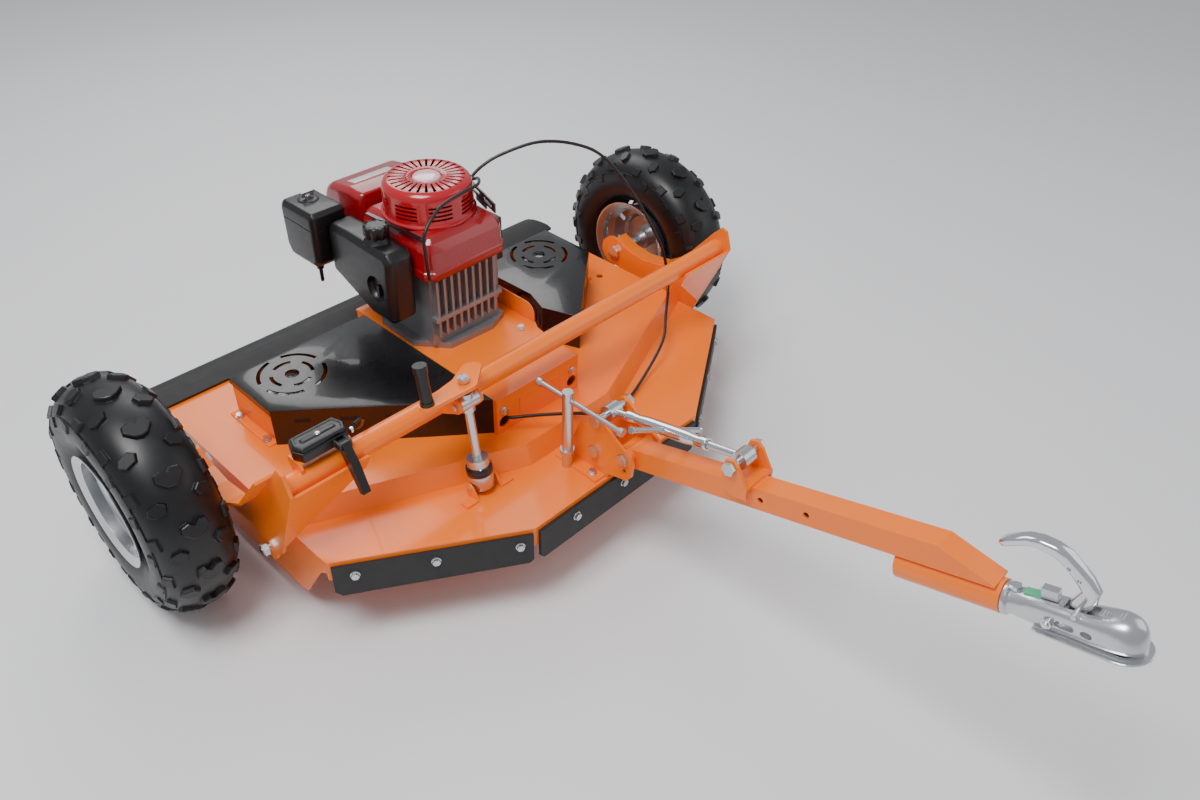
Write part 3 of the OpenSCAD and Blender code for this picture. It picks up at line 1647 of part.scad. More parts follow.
// A cable swept along its points, with 8 sides
function tangent(p, i) =
  let (d = p[min(i + 1, len(p) - 1)] - p[max(i - 1, 0)])
  d / norm(d);
function side_axis(t) =
  let (c = cross(t, abs(t[2]) > 0.9 ? [1, 0, 0] : [0, 0, 1]))
  c / norm(c);
function ring(p, i, r) =
  let (t = tangent(p, i), a = side_axis(t), b = cross(t, a))
  [for (k = [0 : 7]) p[i] + r * (cos(45 * k) * a + sin(45 * k) * b)];
// A smooth run through the chosen points
function spline(p, i, t) =
  let (a = p[max(i - 1, 0)], b = p[i], c = p[i + 1], d = p[min(i + 2, len(p) - 1)])
  0.5 * (2 * b + (c - a) * t + (2 * a - 5 * b + 4 * c - d) * t * t + (3 * b - a - 3 * c + d) * t * t * t);
function smooth(p, n) = concat(
  [for (i = [0 : len(p) - 2], k = [0 : n - 1]) spline(p, i, k / n)],
  [p[len(p) - 1]]
);
cable_d = 8;
thin_cable_d = 6;
module cable(route, r) {
  n = len(route);
  points = [for (i = [0 : n - 1]) each ring(route, i, r)];
  sides = [
    for (i = [0 : n - 2], k = [0 : 7])
      [i * 8 + k, i * 8 + (k + 1) % 8, (i + 1) * 8 + (k + 1) % 8, (i + 1) * 8 + k]
  ];
  start = [for (k = [7 : -1 : 0]) k];
  end = [for (k = [0 : 7]) (n - 1) * 8 + k];
  polyhedron(points = points, faces = concat([start, end], sides), convexity = 6);
}

throttle_route = [
  [-128, -150, 585], [-132, -150, 650], [-126, -146, 700], [-70, -132, 736], [0, -124, 745], [66, -104, 738],
  [110, -54, 722], [122, -14, 704.6], [160, -10, 722], [210, -30, 745], [290, -75, 766], [370, -125, 752],
  [435, -165, 708], [500, -215, 600], [548, -268, 470], [552, -292, 415], [530, -325, 356],
  [470, -372, 318], [400, -423, 294], [289, -461, 262], [176, -494, 250], [100, -500, 262],
  [20, -480, 299], [-50, -425, 302], [-100, -385, 300], [-112, -360, 292]
];
clutch_route = [
  [-496, -358, 496.6], [-476, -352, 494], [-458, -330, 470], [-446, -300, 430], [-440, -270, 400],
  [-430, -240, 380], [-415, -205, 361.2]
];
module throttle_cable() {
  color("#111113")
    cable(smooth(throttle_route, 3), cable_d / 2);
}
module clutch_cable() {
  color("#111113")
    cable(smooth(clutch_route, 3), thin_cable_d / 2);
}

deck_shell();
apron_rib();
rubber_skirts();
rear_flap();
belt_cover_left();
belt_cover_right();
engine_guard();
cover_walls();
front_beam();
engine_platform();
spindle_housings();
drawbar_head();
engine_crankcase();
engine_shroud();
cylinder_cowl();
recoil_cover();
fuel_tank();
air_filter_box();
muffler();
throttle_bracket();
drive_belts();
fixed_bolts();
screw_bracket();
throttle_cable();
clutch_cable();
lift_frame();
stub_axles();
clutch_box();
clutch_lever();
tyre_left();
tyre_right();
rim_left();
rim_right();
height_screw();
crank_plate();
crank_grip();
screw_foot();
screw_trunnion();
drawbar();
drawbar_bolt();
turnbuckle_rear();
turnbuckle_barrel();
tommy_bar();
turnbuckle_front();
coupler_body();
coupler_handle();
coupler_catch();
lock_post();
lock_bar();
rotor_left();
rotor_middle();
rotor_right();
blade_left();
blade_middle();
blade_right();
crankshaft();
fuel_cap();
filter_knob();
fuel_tap();
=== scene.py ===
"""Tow-behind rotary brush mower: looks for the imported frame. Metres, in the part's own frame."""

import json
import math

import bpy
import bmesh
from mathutils import Matrix, Vector


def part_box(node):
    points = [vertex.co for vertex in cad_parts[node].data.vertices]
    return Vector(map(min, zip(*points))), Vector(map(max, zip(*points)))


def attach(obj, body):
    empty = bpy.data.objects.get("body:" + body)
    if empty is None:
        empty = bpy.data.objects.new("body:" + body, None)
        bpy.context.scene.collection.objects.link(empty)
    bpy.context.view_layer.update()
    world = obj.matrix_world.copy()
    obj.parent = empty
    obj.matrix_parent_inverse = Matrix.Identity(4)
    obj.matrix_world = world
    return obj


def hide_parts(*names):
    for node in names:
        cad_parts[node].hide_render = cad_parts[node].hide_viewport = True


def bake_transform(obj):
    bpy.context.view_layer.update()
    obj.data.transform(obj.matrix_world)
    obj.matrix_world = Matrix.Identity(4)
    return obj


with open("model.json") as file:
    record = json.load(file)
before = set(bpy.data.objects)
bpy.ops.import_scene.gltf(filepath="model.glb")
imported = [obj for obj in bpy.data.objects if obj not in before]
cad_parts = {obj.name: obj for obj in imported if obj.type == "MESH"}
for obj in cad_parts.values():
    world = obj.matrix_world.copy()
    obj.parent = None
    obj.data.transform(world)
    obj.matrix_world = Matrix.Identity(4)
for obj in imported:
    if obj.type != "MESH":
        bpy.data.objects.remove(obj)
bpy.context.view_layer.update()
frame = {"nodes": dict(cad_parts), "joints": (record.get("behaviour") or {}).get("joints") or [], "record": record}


# ---- camera ----------------------------------------------------------------

EYE = Vector((-1.2511, -1.6985, 1.7282))
YAW, PITCH, ROLL = 0.8162, 0.6708, 0.0227
LENS = 28.79  # for a 36 mm wide sensor
SHIFT = (0.0129, 0.0023)


def make_camera():
    look = Vector((math.sin(YAW) * math.cos(PITCH), math.cos(YAW) * math.cos(PITCH), -math.sin(PITCH)))
    right = Vector((math.cos(YAW), -math.sin(YAW), 0.0))
    up = right.cross(look)
    side = right * math.cos(ROLL) + up * math.sin(ROLL)
    top = up * math.cos(ROLL) - right * math.sin(ROLL)
    data = bpy.data.cameras.new("camera")
    data.lens = LENS
    data.sensor_width = 36
    data.shift_x, data.shift_y = SHIFT
    data.clip_end = 100
    cam = bpy.data.objects.new("camera", data)
    turn = Matrix((side, top, -look)).transposed().to_4x4()
    cam.matrix_world = Matrix.Translation(EYE) @ turn
    bpy.context.scene.collection.objects.link(cam)
    bpy.context.scene.camera = cam


make_camera()


# ---- materials ---------------------------------------------------------------

def srgb(r, g, b):
    def lin(v):
        v /= 255
        return v / 12.92 if v <= 0.04045 else ((v + 0.055) / 1.055) ** 2.4
    return (lin(r), lin(g), lin(b), 1.0)


def noise(nodes, links, scale, detail=4.0):
    where = nodes.new("ShaderNodeTexCoord")
    tex = nodes.new("ShaderNodeTexNoise")
    tex.inputs["Scale"].default_value = scale
    tex.inputs["Detail"].default_value = detail
    links.new(where.outputs["Object"], tex.inputs["Vector"])
    return tex.outputs["Fac"]


def material(name, color, rough, metal=0.0, coat=0.0, vary=0.06, scale=30.0, bump=0.0, bump_scale=400.0,
             rough_vary=0.08, edge=0.0010):
    """A plain finish with a little uneven colour, gloss and surface."""
    mat = bpy.data.materials.new(name)
    mat.use_nodes = True
    nodes, links = mat.node_tree.nodes, mat.node_tree.links
    shader = nodes["Principled BSDF"]
    shader.inputs["Metallic"].default_value = metal
    shader.inputs["Coat Weight"].default_value = coat
    shader.inputs["Coat Roughness"].default_value = 0.06
    spots = noise(nodes, links, scale)
    ramp = nodes.new("ShaderNodeMapRange")
    ramp.inputs["To Min"].default_value = 1 - vary
    ramp.inputs["To Max"].default_value = 1 + vary
    links.new(spots, ramp.inputs["Value"])
    tint = nodes.new("ShaderNodeVectorMath")
    tint.operation = "SCALE"
    tint.inputs[0].default_value = color[:3]
    links.new(ramp.outputs["Result"], tint.inputs["Scale"])
    links.new(tint.outputs["Vector"], shader.inputs["Base Color"])
    gloss = nodes.new("ShaderNodeMapRange")
    gloss.inputs["To Min"].default_value = max(0.02, rough - rough_vary)
    gloss.inputs["To Max"].default_value = min(1.0, rough + rough_vary)
    links.new(noise(nodes, links, scale * 2.3), gloss.inputs["Value"])
    links.new(gloss.outputs["Result"], shader.inputs["Roughness"])
    soft = nodes.new("ShaderNodeBevel")
    soft.samples = 4
    soft.inputs["Radius"].default_value = edge
    normal = soft.outputs["Normal"]
    if bump:
        rise = nodes.new("ShaderNodeBump")
        rise.inputs["Strength"].default_value = bump
        rise.inputs["Distance"].default_value = 0.001
        links.new(noise(nodes, links, bump_scale, 2.0), rise.inputs["Height"])
        links.new(normal, rise.inputs["Normal"])
        normal = rise.outputs["Normal"]
    links.new(normal, shader.inputs["Normal"])
    return mat


ORANGE = material("orange_powder_coat", srgb(255, 120, 0), 0.34, coat=0.22, vary=0.03, scale=6, bump=0.02)
BLACK_PAINT = material("black_powder_coat", srgb(17, 16, 19), 0.30, coat=0.35, bump=0.03)
BLACK_PLASTIC = material("black_plastic", srgb(15, 14, 17), 0.38, coat=0.1, bump=0.12, bump_scale=900)
RUBBER = material("sheet_rubber", srgb(34, 34, 35), 0.62, vary=0.12, scale=14, bump=0.1, bump_scale=260)
TYRE = material("tyre_rubber", srgb(12, 12, 15), 0.40, vary=0.10, scale=18, bump=0.08, bump_scale=500)
RED = material("red_enamel", srgb(150, 14, 22), 0.25, coat=0.6, vary=0.04, scale=8)
RED_PLASTIC = material("red_plastic", srgb(172, 14, 26), 0.22, coat=0.5, vary=0.04, scale=9)
CAST = material("cast_alloy", srgb(150, 152, 155), 0.5, metal=0.75, vary=0.12, bump=0.3, bump_scale=700)
DARK_STEEL = material("dark_steel", srgb(70, 68, 68), 0.55, metal=0.7, vary=0.15)
BLADE_STEEL = material("blade_steel", srgb(120, 122, 126), 0.45, metal=0.9, vary=0.2, scale=12)
ZINC = material("bright_zinc", srgb(205, 207, 210), 0.26, metal=0.95, vary=0.05, scale=12, rough_vary=0.04)
CHROME = material("plated_steel", srgb(222, 223, 226), 0.14, metal=1.0, vary=0.05, scale=50)

FINISH = {
    "orange_paint": ORANGE,
    "sheet_rubber": RUBBER,
    "tyre_rubber": TYRE,
    "black_paint": BLACK_PAINT,
    "black_plastic": BLACK_PLASTIC,
    "red_paint": RED,
    "red_plastic": RED_PLASTIC,
    "cast_alloy": CAST,
    "dark_steel": DARK_STEEL,
    "blade_steel": BLADE_STEEL,
    "zinc_steel": ZINC,
}


def dress(obj, mat):
    obj.data.materials.clear()
    obj.data.materials.append(mat)


for part in frame["record"]["subparts"]:
    dress(frame["nodes"][part["node"]], FINISH[part["material_slot"]])


# ---- stage -------------------------------------------------------------------

FLOOR = 30.0                  # half the floor's side
AIM = Vector((0, -0.3, 0.4))  # where the lights point
LIGHTS = (                    # name, place, size, power
    ("key_light", (-1.6, -0.6, 3.8), 1.6, 125),
    ("fill_light", (2.6, -3.0, 2.4), 2.6, 22),
    ("back_light", (1.2, 2.6, 3.2), 2.2, 60),
)


def make_stage():
    floor_mesh = bpy.data.meshes.new("floor")
    corners = [(-FLOOR, -FLOOR, 0), (FLOOR, -FLOOR, 0), (FLOOR, FLOOR, 0), (-FLOOR, FLOOR, 0)]
    floor_mesh.from_pydata(corners, [], [(0, 1, 2, 3)])
    floor = bpy.data.objects.new("floor", floor_mesh)
    bpy.context.scene.collection.objects.link(floor)
    dress(floor, material("floor_paint", srgb(236, 236, 238), 0.6, vary=0.01, scale=1))
    for name, place, size, power in LIGHTS:
        data = bpy.data.lights.new(name, "AREA")
        data.energy = power
        data.size = size
        lamp = bpy.data.objects.new(name, data)
        lamp.location = place
        lamp.rotation_euler = (AIM - Vector(place)).to_track_quat("-Z", "Y").to_euler()
        bpy.context.scene.collection.objects.link(lamp)
    world = bpy.data.worlds.new("studio")
    world.use_nodes = True
    sky = world.node_tree.nodes["Background"]
    sky.inputs["Color"].default_value = (0.95, 0.97, 1.0, 1)
    sky.inputs["Strength"].default_value = 0.5
    bpy.context.scene.world = world


make_stage()


# ---- shapes -------------------------------------------------------------------

class Shape:
    """Vertices and faces of one piece, built up in the part's own frame."""

    def __init__(self):
        self.points = []
        self.faces = []

    def add(self, points, faces):
        base = len(self.points)
        self.points += [tuple(p) for p in points]
        self.faces += [[base + i for i in face] for face in faces]

    def loops(self, rings, closed=False, caps=True):
        """A skin through rings of equally many points."""
        n = len(rings[0])
        count = len(rings)
        faces = []
        for i in range(count if closed else count - 1):
            a, b = i * n, (i + 1) % count * n
            faces += [[a + j, a + (j + 1) % n, b + (j + 1) % n, b + j] for j in range(n)]
        if caps and not closed:
            faces += [list(range(n))[::-1], list(range((count - 1) * n, count * n))]
        self.add([p for ring in rings for p in ring], faces)

    def slab(self, outline, place, depth):
        """An outline carried by place(u, v, w) from w = 0 to w = depth."""
        self.loops([[place(u, v, w) for u, v in outline] for w in (0.0, depth)])

    def spin(self, profile, place, steps=64):
        """A closed profile of (radius, height) pairs turned round; place(x, y, z) says where a point goes."""
        rings = []
        for i in range(steps):
            t = 2 * math.pi * i / steps
            rings.append([place(r * math.cos(t), r * math.sin(t), h) for r, h in profile])
        self.loops(rings, closed=True)

    def upright(self, profile, x=0.0, y=0.0, z=0.0, steps=64):
        """A profile turned round the upright line through (x, y), its heights counted from z."""
        self.spin(profile, lambda u, v, h: (x + u, y + v, z + h), steps)

    def layers(self, outline, axis, levels):
        """Rings of an outline across axis 0 or 2; levels are pairs of place and how far the ring is inset."""
        rings = []
        for at, d in levels:
            ring = inset(outline, d)
            rings.append([(at, u, v) for u, v in ring] if axis == 0 else [(u, v, at) for u, v in ring])
        self.loops(rings)

    def prism(self, outline, axis, start, end):
        """An outline drawn across an axis: (y, z) for 0, (x, z) for 1, (x, y) for 2."""
        def place(u, v, w):
            at = start + w
            return ((at, u, v), (u, at, v), (u, v, at))[axis]
        self.slab(outline, place, end - start)

    def block(self, lo, hi):
        self.prism([(lo[1], lo[2]), (hi[1], lo[2]), (hi[1], hi[2]), (lo[1], hi[2])], 0, lo[0], hi[0])

    def make(self, name, mat, body, slot, sharp=35, bevel=0.0, segments=3, keep=25):
        mesh = bpy.data.meshes.new(name)
        mesh.from_pydata(self.points, [], self.faces)
        work = bmesh.new()
        work.from_mesh(mesh)
        bmesh.ops.recalc_face_normals(work, faces=work.faces)
        if bevel:
            limit = math.radians(keep)
            edges = [e for e in work.edges if e.is_manifold and e.calc_face_angle(0) > limit]
            bmesh.ops.bevel(work, geom=edges, offset=bevel, offset_type="OFFSET", segments=segments,
                            profile=0.5, affect="EDGES", clamp_overlap=True)
        work.to_mesh(mesh)
        work.free()
        mesh.shade_smooth()
        mesh.set_sharp_from_angle(angle=math.radians(sharp))
        obj = bpy.data.objects.new(name, mesh)
        bpy.context.scene.collection.objects.link(obj)
        dress(obj, mat)
        if body:
            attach(obj, body)
        return obj


def carve(obj, cutter):
    """Cuts the cutter shape out of the piece."""
    mesh = bpy.data.meshes.new("cutter")
    mesh.from_pydata(cutter.points, [], cutter.faces)
    work = bmesh.new()
    work.from_mesh(mesh)
    bmesh.ops.recalc_face_normals(work, faces=work.faces)
    work.to_mesh(mesh)
    work.free()
    tool = bpy.data.objects.new("cutter", mesh)
    bpy.context.scene.collection.objects.link(tool)
    mod = obj.modifiers.new("cut", "BOOLEAN")
    mod.operation = "DIFFERENCE"
    mod.solver = "EXACT"
    mod.object = tool
    done = bpy.data.meshes.new_from_object(obj.evaluated_get(bpy.context.evaluated_depsgraph_get()))
    obj.modifiers.clear()
    obj.data = done
    done.set_sharp_from_angle(angle=math.radians(35))
    bpy.data.objects.remove(tool)
    return obj


def circle(radius, count, u=0.0, v=0.0):
    """Points of a circle round (u, v)."""
    turns = [2 * math.pi * k / count for k in range(count)]
    return [(u + radius * math.cos(t), v + radius * math.sin(t)) for t in turns]


def middle(node):
    """The middle of a node's box seen from above."""
    lo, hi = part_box(node)
    return (lo[0] + hi[0]) / 2, (lo[1] + hi[1]) / 2


def inset(outline, d):
    """A closed counter-clockwise outline moved inwards by d, its corners mitred."""
    out = []
    for i, b in enumerate(outline):
        a, c = Vector(outline[i - 1]), Vector(outline[(i + 1) % len(outline)])
        b = Vector(b)
        u, v = (b - a).normalized(), (c - b).normalized()
        n, m = Vector((-u.y, u.x)), Vector((-v.y, v.x))
        out.append(tuple(b + d * (n + m) / (1 + n.dot(m))))
    return out


# ---- tyres --------------------------------------------------------------------

TREAD = 0.0105       # height of the middle knobs
PITCHES = 15         # times the pattern repeats round the tyre
SQUARENESS = 2.25    # 2 is an elliptic section, more is squarer
BEAD_SEAT = 0.1205   # radius where the tyre sits on the rim
SIDE_ROOM = 0.003    # carcass to the node's side
SKIN = 0.88          # inner section as a share of the outer one


class Tyre:
    """The carcass as a surface: s runs across the tread from its middle, t round it."""

    def __init__(self, node):
        lo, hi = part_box(node)
        self.mid_x = (lo[0] + hi[0]) / 2
        self.half = (hi[0] - lo[0]) / 2
        self.hub_z = (lo[2] + hi[2]) / 2
        self.outer = (hi[2] - lo[2]) / 2
        self.crown = self.outer - TREAD
        self.core = (self.crown + BEAD_SEAT) / 2
        self.height = (self.crown - BEAD_SEAT) / 2
        self.table = [(0.0, 90.0)]
        last = self.section(90.0)
        for k in range(1, 181):
            here = self.section(90.0 - k)
            self.table.append((self.table[-1][0] + math.dist(here, last), 90.0 - k))
            last = here

    def section(self, angle, lift=0.0):
        c, s = math.cos(math.radians(angle)), math.sin(math.radians(angle))
        power = 2 / SQUARENESS
        w, h = self.half - SIDE_ROOM + lift, self.height + lift
        return (math.copysign(abs(c) ** power, c) * w, self.core + math.copysign(abs(s) ** power, s) * h)

    def angle_at(self, s):
        side = 1 if s >= 0 else -1
        s = abs(s)
        for (s0, a0), (s1, a1) in zip(self.table, self.table[1:]):
            if s <= s1:
                a = a0 + (a1 - a0) * (s - s0) / (s1 - s0)
                return 90 + side * (a - 90)
        return 90 - side * 90

    def place(self, across, radius, turn):
        t = math.radians(turn)
        return (self.mid_x + across, -radius * math.sin(t), self.hub_z + radius * math.cos(t))

    def point(self, s, t, lift):
        across, radius = self.section(self.angle_at(s), lift)
        return self.place(across, radius, t)

    def knob(self, shape, outline, s0, turn, rise, twist=0.0):
        per = math.degrees(1 / self.crown)
        c, n = math.cos(math.radians(twist)), math.sin(math.radians(twist))
        rings = []
        for lift, grow in ((-0.003, 1.10), (rise - 0.0015, 0.96), (rise, 0.86)):
            ring = []
            for u, v in outline:
                a, b = (u * c - v * n) * grow, (u * n + v * c) * grow
                ring.append(self.point(s0 + a, turn + b * per, lift))
            rings.append(ring)
        shape.loops(rings)


HEART = [(0, -0.007), (0.010, -0.016), (0.024, -0.012), (0.027, 0.002), (0.012, 0.019), (0, 0.023),
         (-0.012, 0.019), (-0.027, 0.002), (-0.024, -0.012), (-0.010, -0.016)]
HEXAGON = [(-0.020, 0), (-0.012, -0.013), (0.010, -0.013), (0.020, -0.002), (0.012, 0.012), (-0.010, 0.013)]
BLOCK = [(-0.011, -0.015), (0.009, -0.017), (0.013, 0.012), (-0.009, 0.016)]
DASH = [(-0.0016, -0.014), (0.0016, -0.014), (0.0016, 0.014), (-0.0016, 0.014)]


def knobbly_tyre(node, body):
    """A hollow carcass with rows of knobs in place of the node."""
    tyre = Tyre(node)
    shape = Shape()
    outer = [tyre.section(a) for a in range(-62, 243, 8)]
    inner = [(x * SKIN, (r - tyre.core) * SKIN + tyre.core) for x, r in reversed(outer)]
    profile = outer + inner
    steps = 96
    shape.loops([[tyre.place(x, r, 360 * i / steps) for x, r in profile] for i in range(steps)], closed=True)
    for k in range(PITCHES):
        turn = 360 * k / PITCHES
        half = 180 / PITCHES
        tyre.knob(shape, HEART, 0, turn, TREAD)
        for side in (-1, 1):
            mirrored = [(side * u, v) for u, v in HEXAGON]
            tyre.knob(shape, mirrored, side * 0.046, turn + half * 0.9, TREAD * 0.85, side * 18)
            block = [(side * u, v) for u, v in BLOCK]
            tyre.knob(shape, block, side * 0.082, turn + half * 0.2, TREAD * 0.6, side * 8)
            tyre.knob(shape, block, side * 0.108, turn + half * 1.1, TREAD * 0.35, side * -6)
            for q in range(4):
                tyre.knob(shape, DASH, side * 0.098, turn + q * half / 2, 0.0022)
    obj = shape.make(node + "_tread", TYRE, body, "tyre_rubber", sharp=28)
    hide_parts(node)


knobbly_tyre("tyre_left", "wheel_left")
knobbly_tyre("tyre_right", "wheel_right")


# ---- cables ----------------------------------------------------------------------

MM = 0.001
CABLE_POINTS = [
    (-128, -150, 585), (-132, -150, 650), (-126, -146, 700), (-70, -132, 736), (0, -124, 745), (66, -104, 738),
    (110, -54, 722), (122, -14, 704.6), (160, -10, 722), (210, -30, 745), (290, -75, 766), (370, -125, 752),
    (435, -165, 708), (500, -215, 600), (548, -268, 470), (552, -292, 415), (530, -325, 356), (470, -372, 318),
    (400, -423, 294), (289, -461, 262), (176, -494, 250), (100, -500, 262), (20, -480, 299), (-50, -425, 302),
    (-100, -385, 300), (-112, -360, 292),
]


CLUTCH_POINTS = [
    (-496, -358, 496.6), (-476, -352, 494), (-458, -330, 470), (-446, -300, 430), (-440, -270, 400),
    (-430, -240, 380), (-415, -205, 361.2),
]


def smooth_route(points, cuts=8):
    """A Catmull-Rom line through the points."""
    pts = [Vector(p) * MM for p in points]
    ends = [pts[0] * 2 - pts[1]] + pts + [pts[-1] * 2 - pts[-2]]
    line = []
    for i in range(1, len(ends) - 2):
        a, b, c, d = ends[i - 1:i + 3]
        for k in range(cuts):
            t = k / cuts
            line.append(0.5 * (2 * b + (c - a) * t + (2 * a - 5 * b + 4 * c - d) * t ** 2
                               + (3 * b - a - 3 * c + d) * t ** 3))
    line.append(pts[-1])
    return line


def tube(name, line, radius, mat, body, slot, sides=12):
    """A round rod along the line, its rings turned as little as can be."""
    rings = []
    for i, p in enumerate(line):
        along = (line[min(i + 1, len(line) - 1)] - line[max(i - 1, 0)]).normalized()
        if i == 0:
            side = along.orthogonal().normalized()
        else:
            side = (side - along * side.dot(along)).normalized()
        up = along.cross(side)
        rings.append([p + side * u + up * v for u, v in circle(radius, sides)])
    shape = Shape()
    shape.loops(rings)
    return shape.make(name, mat, body, slot, sharp=60)


def cable(name, node, points, radius, body):
    """A black sheathed cable along the points, in place of the node."""
    line = smooth_route(points)
    obj = tube(name, line, radius, BLACK_PLASTIC, body, "black_plastic")
    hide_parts(node)
    return obj


cable("throttle_cable_sheath", "throttle_cable", CABLE_POINTS, 0.004, "deck")
clutch_sheath = cable("clutch_cable_sheath", "clutch_cable", CLUTCH_POINTS, 0.003, None)
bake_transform(clutch_sheath)

# ---- engine -------------------------------------------------------------------

RECESS = material("blank_label", srgb(196, 190, 188), 0.4, coat=0.3, vary=0.03)
# Pale pink for the starter disc: a painted highlight, red plastic lightened as if lit by lamp glare.
DISC_PAINTED_HIGHLIGHT = material("starter_disc", srgb(226, 178, 190), 0.12, coat=0.8, vary=0.02)
# Near-black for the insides of slots and vents: painted shade for their dark openings.
SLOT_SHADE_BLACK = material("painted_slot_shade", srgb(14, 9, 11), 0.7)
TOP_SLOTS, SIDE_SLOTS = 28, 8      # in the recoil housing
SHOULDER = 0.022                   # its round top edge
HOOD_WELL = 0.096                  # hole in the hood under it
CASE_WIDE, CASE_HIGH = 0.100, 0.148    # air filter
CAP_RADIUS, FLUTE_DEPTH, FLUTES = 0.0285, 0.0022, 8


def recoil():
    """Recoil starter housing: a slotted drum, the disc in its top whose pale colour is a painted highlight, and a
    near-black screen behind the slots as painted shade.
    """
    lo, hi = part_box("recoil_cover")
    base = lo[2]
    high = hi[2] - base
    flange = (hi[0] - lo[0]) / 2
    r = flange - 0.006
    edge = circle(SHOULDER, 24, r - SHOULDER, high - SHOULDER)[1:7]
    profile = ([(r - 0.004, 0.0), (flange, 0.0), (flange, 0.004), (r + 0.001, 0.007), (r, 0.012),
                (r, high - SHOULDER)] + edge
               + [(0.040, high), (0.036, high - 0.002), (0.034, high - 0.006), (0.0, high - 0.006),
                         (0.0, high - 0.010), (0.038, high - 0.010), (r - 0.024, high - 0.006),
                         (r - 0.010, high - 0.014), (r - 0.004, high - 0.026)])
    shape = Shape()
    shape.upright(profile, z=base, steps=112)
    cover = shape.make("recoil_housing", RED_PLASTIC, "deck", "red_plastic", sharp=40)
    slots = Shape()
    for k in range(TOP_SLOTS):
        t = 2 * math.pi * k / TOP_SLOTS
        c, n = math.cos(t), math.sin(t)
        ring = []
        for q, w in ((0.047, -0.0022), (0.090, -0.0036), (0.090, 0.0036), (0.047, 0.0022)):
            ring.append((q * c - w * n, q * n + w * c))
        slots.loops([[(x, y, base + z) for x, y in ring] for z in (high - 0.030, high + 0.010)])
    for k in range(SIDE_SLOTS):
        t0 = 2 * math.pi * (k + 0.5) / SIDE_SLOTS
        for z in (0.016, 0.026, 0.036, 0.046):
            arc = [t0 + math.radians(a) for a in (-15, -7.5, 0, 7.5, 15)]
            ring = ([((r - 0.012) * math.cos(t), (r - 0.012) * math.sin(t)) for t in arc]
                    + [((r + 0.012) * math.cos(t), (r + 0.012) * math.sin(t)) for t in reversed(arc)])
            slots.loops([[(x, y, base + q) for x, y in ring] for q in (z, z + 0.005)])
    carve(cover, slots)
    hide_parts("recoil_cover")
    # The disc's pale pink colour is a painted highlight on the red plastic.
    disc = Shape()
    disc.upright([(0.0, high - 0.0055), (0.033, high - 0.0055), (0.033, high - 0.002), (0.030, high),
                  (0.018, high + 0.0008), (0.0, high + 0.001)], z=base)
    disc.make("starter_disc", DISC_PAINTED_HIGHLIGHT, "deck", "red_plastic", sharp=60)
    # A near-black disc and ring under the slots: painted shade for the housing's dark inside.
    screen = Shape()
    screen.upright([(0.0, high - 0.034), (r - 0.008, high - 0.034), (r - 0.008, high - 0.030), (0.0, high - 0.030)],
                   z=base, steps=48)
    screen.upright([(r - 0.016, 0.004), (r - 0.012, 0.004), (r - 0.012, high - 0.032), (r - 0.016, high - 0.032)],
                   z=base, steps=48)
    screen.make("painted_slot_shade", SLOT_SHADE_BLACK, "deck", "black_plastic", sharp=40)


def shroud():
    """The red hood over the crankcase, with a well for the recoil housing."""
    lo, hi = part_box("engine_shroud")
    x1, y0, y1 = hi[0], lo[1], hi[1]
    z0, z1 = lo[2], hi[2]
    plan = [(-x1, y0 + 0.020), (-x1 + 0.020, y0), (x1 - 0.020, y0), (x1, y0 + 0.020), (x1, y1 - 0.024),
            (x1 - 0.018, y1), (-x1 + 0.018, y1), (-x1, y1 - 0.024)]
    levels = [(z0, 0.003), (z0 + 0.002, 0.0), (z0 + 0.020, 0.0), (z0 + 0.023, 0.0035), (z1 - 0.034, 0.006),
              (z1 - 0.014, 0.016), (z1 - 0.004, 0.026), (z1, 0.034)]
    shape = Shape()
    shape.layers(plan, 2, levels)
    body = shape.make("engine_hood", RED, "deck", "red_paint", sharp=50, bevel=0.0035, segments=3, keep=12)
    well = Shape()
    well.upright([(0.0, z0 - 0.01), (HOOD_WELL, z0 - 0.01), (HOOD_WELL, z1 + 0.01), (0.0, z1 + 0.01)])
    carve(body, well)
    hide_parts("engine_shroud")


def cowl():
    """The red hood over the cylinder and the blank plate on it."""
    lo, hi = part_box("cylinder_cowl")
    y0, y1, z0, z1 = lo[1], hi[1], lo[2], hi[2]
    side = [(y0, z0), (y1 - 0.036, z0), (y1, z0 + 0.030), (y1, z1 - 0.052), (y1 - 0.012, z1 - 0.030),
            (y1 - 0.034, z1 - 0.014), (y0 + 0.048, z1), (y0, z1 - 0.006)]
    shape = Shape()
    shape.layers(side, 0, [(lo[0], 0.012), (lo[0] + 0.012, 0.0), (hi[0] - 0.012, 0.0), (hi[0], 0.012)])
    obj = shape.make("cylinder_hood", RED, "deck", "red_paint", sharp=50, bevel=0.007, segments=4, keep=12)
    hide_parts("cylinder_cowl")
    plate = Shape()
    x_mid = (lo[0] + hi[0]) / 2 - 0.012
    tip = z1 + 0.0004
    fall = 0.014 / (y1 - 0.034 - y0 - 0.048)
    ring = []
    for x, y in ((x_mid - 0.060, y0 + 0.058), (x_mid + 0.060, y0 + 0.058), (x_mid + 0.060, y0 + 0.092),
                 (x_mid - 0.060, y0 + 0.092)):
        ring.append((x, y, tip - fall * (y - y0 - 0.048)))
    plate.loops([[(x, y, z - 0.002) for x, y, z in ring], ring])
    plate.make("hood_plate_blank", RECESS, "deck", "red_paint", bevel=0.0006, segments=2)


